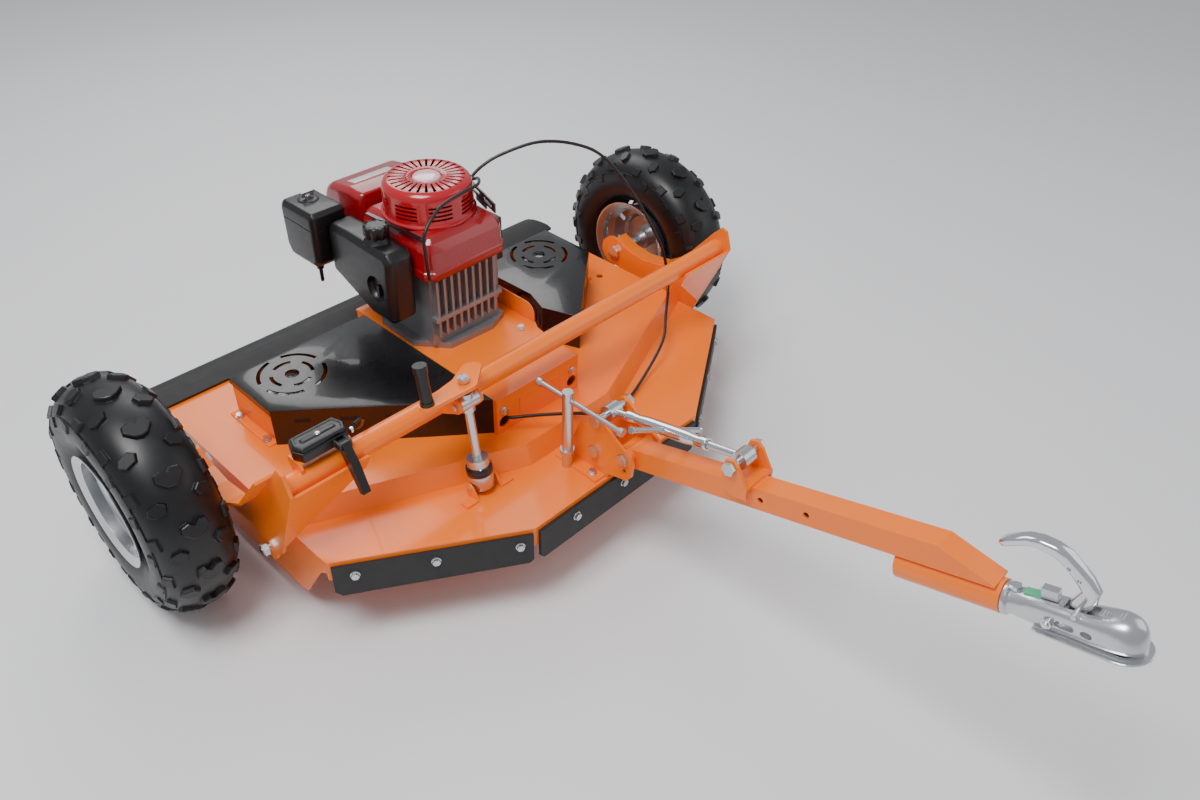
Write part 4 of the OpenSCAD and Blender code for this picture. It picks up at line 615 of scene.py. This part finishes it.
def tank():
    """Fuel tank with a round pocket for the tap, its neck and the fluted cap."""
    lo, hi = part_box("fuel_tank")
    x0, x1, y0, y1, z0 = lo[0], hi[0], lo[1], hi[1], lo[2]
    z1 = hi[2] - 0.008
    side = [(y0 + 0.004, z0 + 0.014), (y0 + 0.020, z0), (y0 + 0.090, z0), (y1 - 0.004, z0 + 0.060),
            (y1, z0 + 0.072), (y1, z1 - 0.014), (y1 - 0.014, z1 - 0.002), (y0 + 0.160, z1),
            (y0 + 0.018, z1 - 0.004), (y0, z1 - 0.022)]
    shape = Shape()
    shape.layers(side, 0, [(x0, 0.014), (x0 + 0.010, 0.002), (x0 + 0.018, 0.0), ((x0 + x1) / 2, 0.0),
                           (x1 - 0.018, 0.0), (x1 - 0.010, 0.002), (x1, 0.014)])
    obj = shape.make("fuel_tank_shell", BLACK_PLASTIC, "deck", "black_plastic", sharp=60, bevel=0.006, segments=3,
                     keep=10)
    tap_y, tap_z = y0 + 0.062, z0 + 0.084
    bowl = Shape()
    bowl.spin([(0.0, -0.02), (0.033, -0.02), (0.033, 0.004), (0.028, 0.013), (0.0, 0.013)],
              lambda x, y, z: (x0 + z, tap_y + x, tap_z + y), steps=48)
    carve(obj, bowl)
    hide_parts("fuel_tank")
    cap_lo, cap_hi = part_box("fuel_cap")
    cx, cy = middle("fuel_cap")
    neck = Shape()
    neck.upright([(0.0, z1 - 0.006), (0.034, z1 - 0.006), (0.028, z1 + 0.002), (0.025, z1 + 0.008),
                  (0.0, z1 + 0.008)], cx, cy, steps=48)
    neck.make("fuel_neck", BLACK_PLASTIC, "deck", "black_plastic")
    cap = Shape()
    rise = cap_hi[2] - cap_lo[2]
    rings = []
    for z, grow in ((0.0, 0.93), (0.002, 0.97), (rise - 0.007, 0.99), (rise - 0.002, 0.95), (rise, 0.86),
                    (rise - 0.0015, 0.80), (rise - 0.0015, 0.30)):
        ring = []
        for i in range(72):
            t = 2 * math.pi * i / 72
            lobe = CAP_RADIUS
            if grow > 0.85:
                lobe += FLUTE_DEPTH * math.tanh(2.5 * math.cos(FLUTES * t))
            ring.append((cx + grow * lobe * math.cos(t), cy + grow * lobe * math.sin(t), cap_lo[2] + z))
        rings.append(ring)
    cap.loops(rings)
    obj = cap.make("fuel_cap_fluted", BLACK_PLASTIC, "fuel_cap", "black_plastic", sharp=50)
    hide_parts("fuel_cap")


def air_box():
    """Air filter case with its knob's seat and the drain under it."""
    lo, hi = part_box("air_filter_box")
    x0, y0, y1 = lo[0], lo[1], hi[1]
    x1 = x0 + CASE_WIDE
    z1 = hi[2] - 0.003
    z0 = z1 - CASE_HIGH
    side = [(y0, z0 + 0.020), (y0 + 0.018, z0 + 0.002), (y1 - 0.020, z0), (y1 - 0.002, z0 + 0.028),
            (y1, z1 - 0.016), (y1 - 0.012, z1 - 0.002), (y0 + 0.010, z1), (y0, z1 - 0.010)]
    shape = Shape()
    shape.layers(side, 0, [(x0, 0.012), (x0 + 0.008, 0.001), (x0 + 0.016, 0.0), (x1 - 0.016, 0.0),
                           (x1 - 0.008, 0.001), (x1, 0.012)])
    obj = shape.make("air_filter_case", BLACK_PLASTIC, "deck", "black_plastic", sharp=60, bevel=0.006, segments=3,
                     keep=10)
    groove = Shape()
    groove.block((x0 - 0.01, y0 - 0.01, z1 - 0.044), (x0 + 0.0016, y1 + 0.01, z1 - 0.0415))
    groove.block((x0 - 0.01, y0 - 0.01, z1 - 0.044), (x1 + 0.01, y0 + 0.0016, z1 - 0.0415))
    carve(obj, groove)
    kx, ky = middle("filter_knob")
    extras = Shape()
    extras.upright([(0.0, z1 - 0.006), (0.026, z1 - 0.006), (0.026, z1 - 0.0005), (0.022, z1 + 0.001),
                    (0.017, z1 + 0.003), (0.0, z1 + 0.003)], kx, ky, steps=40)
    drain_x, drain_y = x0 + 0.030, y0 + 0.046
    extras.upright([(0.0, z0 - 0.018), (0.009, z0 - 0.018), (0.009, z0 + 0.004), (0.0, z0 + 0.004)],
                   drain_x, drain_y, steps=24)
    extras.upright([(0.0, z0 - 0.055), (0.0045, z0 - 0.055), (0.005, z0 - 0.017), (0.0, z0 - 0.017)],
                   drain_x, drain_y, steps=20)
    extras.block((x1 - 0.006, y0 + 0.040, z0 + 0.026), (hi[0], y0 + 0.100, z0 + 0.084))
    extras.make("air_filter_fittings", BLACK_PLASTIC, "deck", "black_plastic", bevel=0.0012, segments=2)
    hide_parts("air_filter_box")


recoil()
shroud()
cowl()
tank()
air_box()


# ---- coupler ------------------------------------------------------------------

MOUNTS = {m["name"]: m for m in frame["record"]["mounts"]}
GREEN = material("wear_window", srgb(66, 170, 128), 0.35, coat=0.3)
BALL_S, BALL_N = 0.182, -0.008
DOME_R, DOME_N = 0.034, 0.006
LIP_LOW = -0.024
BALL_BORE = 0.0255
RIBS, RIB_PITCH, RIB_HALF = 7, 0.0048, 0.0013


class Along:
    """A local frame on a sloping bar: s along it, y across, n up."""

    def __init__(self, origin, along, up):
        self.origin, self.along, self.up = Vector(origin), Vector(along), Vector(up)
        self.side = self.up.cross(self.along)

    def __call__(self, s, y, n):
        return self.origin + self.along * s + self.side * y + self.up * n


def ring_of(at, s, r, count=40):
    return [at(s, y, n) for y, n in circle(r, count)]


def bar_direction():
    a, b = (Vector(MOUNTS[name]["pos_m"]) for name in ("drawbar_hole_rear", "drawbar_hole_front"))
    return (b - a).normalized()


def coupler_frame():
    """s runs forward from the shank's rear end, y across, n up from the shank's middle."""
    along = bar_direction()
    up = -Vector(MOUNTS["ball_socket"]["axis"])
    ball = Vector(MOUNTS["ball_socket"]["pos_m"])
    return Along(ball - along * BALL_S - up * BALL_N, along, up)


def round_section(half, top, low, power, count=32):
    """Points (y, n) of a section whose corners are squarer for a larger power."""
    points = []
    for i in range(count):
        t = 2 * math.pi * i / count
        c, n = math.cos(t), math.sin(t)
        y = math.copysign(abs(c) ** (2 / power), c) * half
        up = math.copysign(abs(n) ** (2 / power), n)
        points.append((y, up * (top if up > 0 else low)))
    return points


def slot_outline(s0, s1, n, r, count=8):
    """A long hole from s0 to s1 at height n, its ends round with radius r."""
    turns = [math.pi * i / count for i in range(count + 1)]
    return ([(s1 + r * math.sin(t), n - r * math.cos(t)) for t in turns]
            + [(s0 - r * math.sin(t), n + r * math.cos(t)) for t in turns])


def coupler():
    """The pressed coupler body, its lip, ribs, bolts and the wear window."""
    at = coupler_frame()
    # along the shank: s, half width, top, low, squareness
    stations = [(0.0005, 0.0285, 0.0285, 0.0285, 2.0), (0.002, 0.029, 0.029, 0.029, 2.0),
                (0.008, 0.029, 0.029, 0.029, 2.0), (0.0095, 0.0265, 0.0265, 0.0265, 2.0),
                (0.012, 0.0245, 0.0245, 0.0245, 2.0), (0.030, 0.0245, 0.025, 0.0240, 2.2),
                (0.044, 0.0250, 0.0262, 0.0235, 2.8), (0.060, 0.0258, 0.0275, 0.0235, 3.4),
                (0.100, 0.0268, 0.0280, 0.0235, 3.6), (0.130, 0.0295, 0.0290, 0.0235, 3.4),
                (0.150, 0.0318, 0.0330, 0.0235, 3.0), (0.168, 0.0335, 0.0380, 0.0235, 2.6),
                (BALL_S, DOME_R, DOME_N + DOME_R, 0.0235, 2.4)]
    for k in range(1, 9):
        t = math.radians(k * 90 / 8.25)
        stations.append((BALL_S + DOME_R * math.sin(t), DOME_R * math.cos(t), DOME_N + DOME_R * math.cos(t) ** 0.8,
                         0.0235, 2.3))
    shape = Shape()
    shape.loops([[at(s, y, n) for y, n in round_section(*rest)] for s, *rest in stations])
    body = shape.make("coupler_shell", ZINC, "coupler", "zinc_steel", sharp=50)
    hollow = Shape()
    hollow.loops([[at(s, y, n) for s, y in circle(r, 24, BALL_S)]
                  for r, n in ((BALL_BORE, -0.06), (BALL_BORE, DOME_N), (0.0235, 0.016), (0.018, 0.024),
                               (0.010, 0.0295))])
    for side in (-1, 1):
        for s0, s1, n, r in ((0.094, 0.112, 0.002, 0.0065), (0.134, 0.140, 0.002, 0.0060)):
            ring = slot_outline(s0, s1, n, r)
            hollow.loops([[at(s, side * y, q) for s, q in ring] for y in (0.019, 0.045)])
    hollow.loops([[at(s, y, n) for s, y in ((0.096, -0.0115), (0.146, -0.0115), (0.146, 0.0115), (0.096, 0.0115))]
                  for n in (0.010, 0.060)])
    carve(body, hollow)
    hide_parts("coupler_body")

    lip = Shape()
    plan = [(0.054, -0.030), (0.062, -0.036), (0.110, -0.0385), (BALL_S - 0.010, -0.0425)]
    plan += [(BALL_S + 0.043 * math.sin(math.radians(a)), -0.043 * math.cos(math.radians(a)))
             for a in range(0, 181, 12)]
    plan += [(s, -y) for s, y in reversed(plan[:4])]
    lip.loops([[at(s, y, n) for s, y in plan] for n in (LIP_LOW, LIP_LOW + 0.0048)])
    lip.make("coupler_lip", CHROME, "coupler", "zinc_steel", bevel=0.0018, segments=3)

    trim = Shape()
    for k in range(RIBS):
        s = 0.152 + k * RIB_PITCH
        grow = min(1.0, (s - 0.100) / 0.082)
        top = 0.0335 + (DOME_N + DOME_R - 0.0335) * max(0.0, min(1.0, (s - 0.150) / 0.030)) - 0.0002
        half = 0.010 + 0.006 * grow
        arch = [(half * q, top - 0.0035 * q * q) for q in (-1, -0.6, -0.2, 0.2, 0.6, 1)]
        trim.loops([[at(s + shift, y, n + rise) for y, n in arch]
                    + [at(s + shift, y, n - 0.004) for y, n in reversed(arch)]
                    for shift, rise in ((-RIB_HALF, -0.001), (0.0, 0.001), (RIB_HALF, -0.001))])
    for side in (-1, 1):
        for radius, count, ends in ((0.0095, 6, (0.025, 0.0335)), (0.0055, 12, (0.030, 0.0385))):
            trim.loops([[at(s, side * y, n) for s, n in circle(radius, count, 0.078)] for y in ends])
    trim.loops([[at(s, y, n) for s, y in circle(0.011, 6, 0.017)] for n in (0.022, 0.0315)])
    trim.make("coupler_fittings", CHROME, "coupler", "zinc_steel", bevel=0.0007, segments=2)
    window = Shape()
    window.loops([[at(s, y, n) for s, y in ((0.032, -0.0085), (0.060, -0.0095), (0.060, 0.0095), (0.032, 0.0085))]
                  for n in (0.022, 0.0290)])
    window.make("coupler_window", GREEN, "coupler", "zinc_steel", bevel=0.0012, segments=2)


def coupler_handle():
    """The hooked lever and its pin."""
    at = coupler_frame()
    # along the lever: s, n, half width, half depth
    line = [(0.112, 0.018, 0.0085, 0.012), (0.117, 0.034, 0.0090, 0.0145), (0.128, 0.050, 0.0095, 0.015),
            (0.133, 0.066, 0.0105, 0.0145), (0.124, 0.083, 0.0115, 0.0135), (0.109, 0.102, 0.0120, 0.0125),
            (0.095, 0.118, 0.0125, 0.0120), (0.078, 0.127, 0.0130, 0.0110), (0.058, 0.132, 0.0132, 0.0100),
            (0.038, 0.131, 0.0136, 0.0090), (0.020, 0.124, 0.0138, 0.0080), (0.004, 0.117, 0.0136, 0.0072),
            (-0.003, 0.1135, 0.0120, 0.0062), (-0.0065, 0.1115, 0.0085, 0.0045)]
    rings = []
    for i, (s, n, half, depth) in enumerate(line):
        s0, n0 = line[max(i - 1, 0)][:2]
        s1, n1 = line[min(i + 1, len(line) - 1)][:2]
        d = Vector((s1 - s0, n1 - n0)).normalized()
        out = Vector((d.y, -d.x))
        ring = []
        for y, q in round_section(half, depth, depth, 3.2, 24):
            ring.append(at(s + out.x * q, y, n + out.y * q))
        rings.append(ring)
    shape = Shape()
    shape.loops(rings)
    lever = shape.make("coupler_lever", CHROME, "coupler_handle", "zinc_steel", sharp=60)
    holes = Shape()
    for side in (-1, 1):
        for s, n, r in ((0.102, 0.104, 0.0036), (0.118, 0.086, 0.0036), (0.124, 0.058, 0.0034)):
            holes.loops([[at(q, side * y, m) for q, m in circle(r, 12, s, n)] for y in (0.0085, 0.02)])
    carve(lever, holes)
    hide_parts("coupler_handle")
    pin = Shape()
    pin.loops([[at(s, y, n) for s, n in circle(0.005, 18, 0.118, 0.030)] for y in (-0.0325, 0.0325)])
    pin.make("coupler_lever_pin", ZINC, "coupler_handle", "zinc_steel", bevel=0.001, segments=2)


# ---- turnbuckle -----------------------------------------------------------------

def joint(name):
    """The frame's joint of that name."""
    return next(j for j in frame["joints"] if j["name"] == name)


def turnbuckle_barrel():
    """The tube between the two threaded rods, open at both ends."""
    spin = joint("barrel_spin")
    along = Vector(spin["axis"]).normalized()
    up = Vector((1, 0, 0)).cross(along)
    if up.z < 0:
        up = -up
    at = Along(spin["pos_m"], along, up)
    # along the barrel: s, radius
    profile = [(0.050, 0.0130), (0.0515, 0.0145), (0.068, 0.0145), (0.074, 0.0128), (0.086, 0.0128), (0.108, 0.0150),
               (0.122, 0.0150), (0.200, 0.0150), (0.214, 0.0150), (0.236, 0.0128), (0.248, 0.0124),
               (0.256, 0.0145), (0.2705, 0.0145), (0.272, 0.0130)]
    shape = Shape()
    shape.loops([ring_of(at, s, r) for s, r in profile])
    obj = shape.make("turnbuckle_tube", CHROME, "turnbuckle_barrel", "zinc_steel", sharp=40)
    bore = Shape()
    bore.loops([ring_of(at, s, 0.0092, 24) for s in (0.04, 0.09)])
    bore.loops([ring_of(at, s, 0.0100, 24) for s in (0.230, 0.285)])
    carve(obj, bore)
    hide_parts("turnbuckle_barrel")


# ---- height screw and clutch control ----------------------------------------------

def screw_frame():
    spin = joint("crank_spin")
    along = Vector(spin["axis"]).normalized()
    return Along(spin["pos_m"], along, Vector((1, 0, 0)).cross(along))


def screw_foot():
    """Zinc drum, black collar and pin at the foot of the height screw."""
    at = screw_frame()
    drum = Shape()
    drum.loops([ring_of(at, s, r) for s, r in ((-0.009, 0.0275), (-0.0075, 0.0292), (0.024, 0.0292),
                                               (0.026, 0.0285))])
    obj = drum.make("screw_foot_drum", ZINC, "foot", "zinc_steel", sharp=50)
    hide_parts("screw_foot")
    pivot = Shape()
    pivot.loops([[at.origin + Vector((x, y, z)) for y, z in circle(0.006, 18)] for x in (-0.038, 0.038)])
    pivot.make("screw_foot_pin", ZINC, "foot", "zinc_steel", bevel=0.001, segments=2)
    collar = Shape()
    collar.loops([ring_of(at, s, r) for s, r in ((0.0262, 0.0290), (0.0275, 0.0300), (0.043, 0.0300), (0.046, 0.0275),
                                                 (0.0458, 0.019), (0.040, 0.0175), (0.036, 0.0165))])
    collar.make("screw_foot_collar", BLACK_PAINT, "foot", "black_paint", sharp=40)
    screws = Shape()
    for a in (60, 150, 240, 330):
        c = Along(at(0.0, 0.0235 * math.cos(math.radians(a)), 0.0235 * math.sin(math.radians(a))), at.along, at.up)
        screws.loops([ring_of(c, s, r, 16) for s, r in ((0.044, 0.0030), (0.0466, 0.0030), (0.0476, 0.0018))])
    screws.make("screw_foot_screws", CHROME, "foot", "zinc_steel")


def clutch_box():
    """The clutch control's case, lid, screws and the lugs that hold its lever."""
    lo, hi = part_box("clutch_box")
    base = lo[2]
    top = hi[2]
    x0 = lo[0]
    y0 = -0.380
    body = Shape()
    plan = [(x0 + 0.010, y0), (x0 + 0.112, y0), (x0 + 0.122, y0 + 0.024), (x0 + 0.112, y0 + 0.054),
            (x0 + 0.010, y0 + 0.054), (x0, y0 + 0.024)]
    body.layers(plan, 2, [(base, 0.002), (base + 0.003, 0.0), (top - 0.012, 0.0), (top - 0.010, 0.0015)])
    obj = body.make("clutch_case", BLACK_PLASTIC, "lift", "black_plastic", sharp=50, bevel=0.003, segments=3)
    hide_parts("clutch_box")
    lid = Shape()
    lid.layers(plan, 2, [(top - 0.0098, 0.004), (top - 0.0085, 0.0025), (top - 0.0035, 0.0030),
                         (top - 0.001, 0.0055), (top - 0.0008, 0.0095), (top - 0.002, 0.0110),
                         (top - 0.002, 0.0200), (top, 0.0225)])
    lid.make("clutch_lid", BLACK_PLASTIC, "lift", "black_plastic", sharp=50, bevel=0.0012, segments=2, keep=15)
    cx, cy = x0 + 0.061, y0 + 0.027
    bits = Shape()
    bits.loops([[(x, y, z) for x, y in circle(r, 24, cx, cy)]
                for z, r in ((top - 0.002, 0.0062), (top + 0.0004, 0.0062), (top + 0.0014, 0.0045))])
    for x, y in ((x0 + 0.100, y0 + 0.046), (x0 + 0.118, y0 - 0.004)):
        bits.loops([[(u, v, z) for u, v in circle(r, 20, x, y)]
                    for z, r in ((top - 0.012, 0.0045), (top - 0.0035, 0.0045), (top - 0.002, 0.003))])
    bits.make("clutch_screws", CHROME, "lift", "zinc_steel")
    lever_lo, lever_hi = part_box("clutch_lever")
    lugs = Shape()
    hub_z = base + 0.012
    for x in (lever_lo[0] + 0.001, lever_hi[0] - 0.006):
        lugs.block((x, y0 - 0.024, hub_z - 0.008), (x + 0.005, y0 + 0.002, hub_z + 0.008))
    lugs.make("clutch_lugs", DARK_STEEL, "lift", "dark_steel", bevel=0.001, segments=2)


coupler()
coupler_handle()
turnbuckle_barrel()
screw_foot()
clutch_box()


# ---- belt covers and engine guard ---------------------------------------------------

COVER_OUT, COVER_FRONT, COVER_REAR = 0.520, -0.037, 0.140
SHEET = 0.003
FOLD = 0.016            # height of the edges that don't reach the deck
SLOT_W, HUB_HOLE = 0.009, 0.017
SLOT_RINGS = ((0.078, 24, 0), (0.048, 34, 45))    # radius, gap and turn in degrees, four slots each
VENT_DROP, VENT_PROUD = 0.026, 0.0006
cover_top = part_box("belt_cover_left")[1][2]
deck_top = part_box("cover_walls")[0][2]
rotor_x, rotor_y = middle("rotor_left")
# seen from above, both drawn on the left side
OUTER_EDGE = [(-COVER_OUT, COVER_REAR), (-COVER_OUT, COVER_FRONT), (-0.257, -0.258)]
LEFT_COVER = OUTER_EDGE + [(-0.134, -0.358), (-0.134, COVER_REAR)]
RIGHT_COVER = OUTER_EDGE + [(-0.217, -0.158), (-0.242, -0.087), (-0.234, COVER_REAR)]


def arc_slot(side, radius, start, end, steps=8):
    """The outline of a curved slot round a cover's rotor."""
    ring = []
    for r, order in ((radius + SLOT_W / 2, range(steps + 1)), (radius - SLOT_W / 2, range(steps, -1, -1))):
        for i in order:
            t = math.radians(start + (end - start) * i / steps)
            ring.append((side * (rotor_x + r * math.cos(t)), rotor_y + r * math.sin(t)))
    return ring


def belt_cover(node, outline, side, walls):
    """A black sheet lid with its edges turned down; the listed edges reach down to the deck and carry near-black
    strips as painted shade for vent slots.
    """
    lid = Shape()
    lid.prism([(side * x, y) for x, y in outline], 2, cover_top - SHEET, cover_top)
    lid = lid.make(node + "_lid", BLACK_PAINT, "deck", "black_paint", bevel=0.0012, segments=2)
    holes = [arc_slot(side, radius, k * 90 + turn + gap / 2, k * 90 + turn + 90 - gap / 2)
             for radius, gap, turn in SLOT_RINGS for k in range(4)]
    holes.append(circle(HUB_HOLE, 32, side * rotor_x, rotor_y))
    cutter = Shape()
    for hole in holes:
        cutter.prism(hole, 2, cover_top - 0.01, cover_top + 0.01)
    carve(lid, cutter)
    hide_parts(node)
    skirt = Shape()
    inner = inset(outline, SHEET)
    for i, p in enumerate(outline):
        j = (i + 1) % len(outline)
        low = deck_top if i in walls else cover_top - FOLD
        quad = [p, outline[j], inner[j], inner[i]]
        skirt.prism([(side * x, y) for x, y in quad], 2, low, cover_top - 0.0012)
    skirt.make(node + "_skirt", BLACK_PAINT, "deck", "black_paint")
    # Near-black strips proud of the walls that reach the deck: painted shade for the dark openings of the vent slots.
    vents = Shape()
    for i in walls:
        a, b = Vector(outline[i]), Vector(outline[i + 1])
        along = (b - a).normalized()
        out = Vector((along.y, -along.x)) * VENT_PROUD
        tall = (b - a).length < 0.15
        for k in range(3):
            spot = a + (b - a) * (0.2 + 0.3 * k)
            half, high = (0.004, 0.036) if tall else (0.018, 0.010)
            ends = [spot - along * half, spot + along * half]
            quad = [ends[0] + out, ends[1] + out, ends[1] - out, ends[0] - out]
            vents.prism([(side * p.x, p.y) for p in quad], 2, cover_top - VENT_DROP - high, cover_top - VENT_DROP)
    vents.make(node + "_vents", SLOT_SHADE_BLACK, "deck", "black_paint")


belt_cover("belt_cover_left", LEFT_COVER, 1, (1, 2))
belt_cover("belt_cover_right", RIGHT_COVER, -1, (1, 2, 3))


def cover_side_walls():
    """Orange side and rear walls that carry the lids, with their foot strips."""
    shape = Shape()
    thick, foot = 0.004, 0.018
    x, front, rear = COVER_OUT - thick, COVER_FRONT + SHEET, COVER_REAR - 0.002
    for side, inner in ((-1, 0.138), (1, 0.238)):
        plan = [(x, rear), (x, front), (x - thick, front), (x - thick, rear - thick), (inner, rear - thick),
                (inner, rear)]
        shape.prism([(side * u, v) for u, v in plan], 2, deck_top, cover_top - FOLD - 0.0005)
        lo, hi = sorted((side * (COVER_OUT + foot), side * (x - thick)))
        shape.block((lo, front, deck_top), (hi, rear, deck_top + thick))
    obj = shape.make("cover_side_walls", ORANGE, "deck", "orange_paint", bevel=0.0006, segments=2)
    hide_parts("cover_walls")


def engine_guard():
    """Upright guard with round top corners on the platform's right edge, and the wing that carries it."""
    z0, high, r = cover_top + 0.0001, 0.050, 0.030
    y0, y1, x = -0.192, -0.010, 0.155
    corner = circle(r, 32)[:9]
    outline = [(y1, z0)] + [(y1 - r + c, z0 + high - r + n) for c, n in corner]
    outline += [(y0 + r - n, z0 + high - r + c) for c, n in corner] + [(y0, z0)]
    shape = Shape()
    shape.prism(outline, 0, x, x + SHEET)
    obj = shape.make("engine_guard_plate", ORANGE, "deck", "orange_paint", bevel=0.0008, segments=2)
    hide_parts("engine_guard")
    wing = Shape()
    wing.prism([(0.130, -0.318), (0.146, -0.215), (0.163, -0.186), (0.163, 0.0), (0.130, 0.03)], 2,
               cover_top - 0.0058, cover_top - 0.0001)
    wing.make("platform_wing", ORANGE, "deck", "orange_paint", bevel=0.0008, segments=2)


cover_side_walls()
engine_guard()
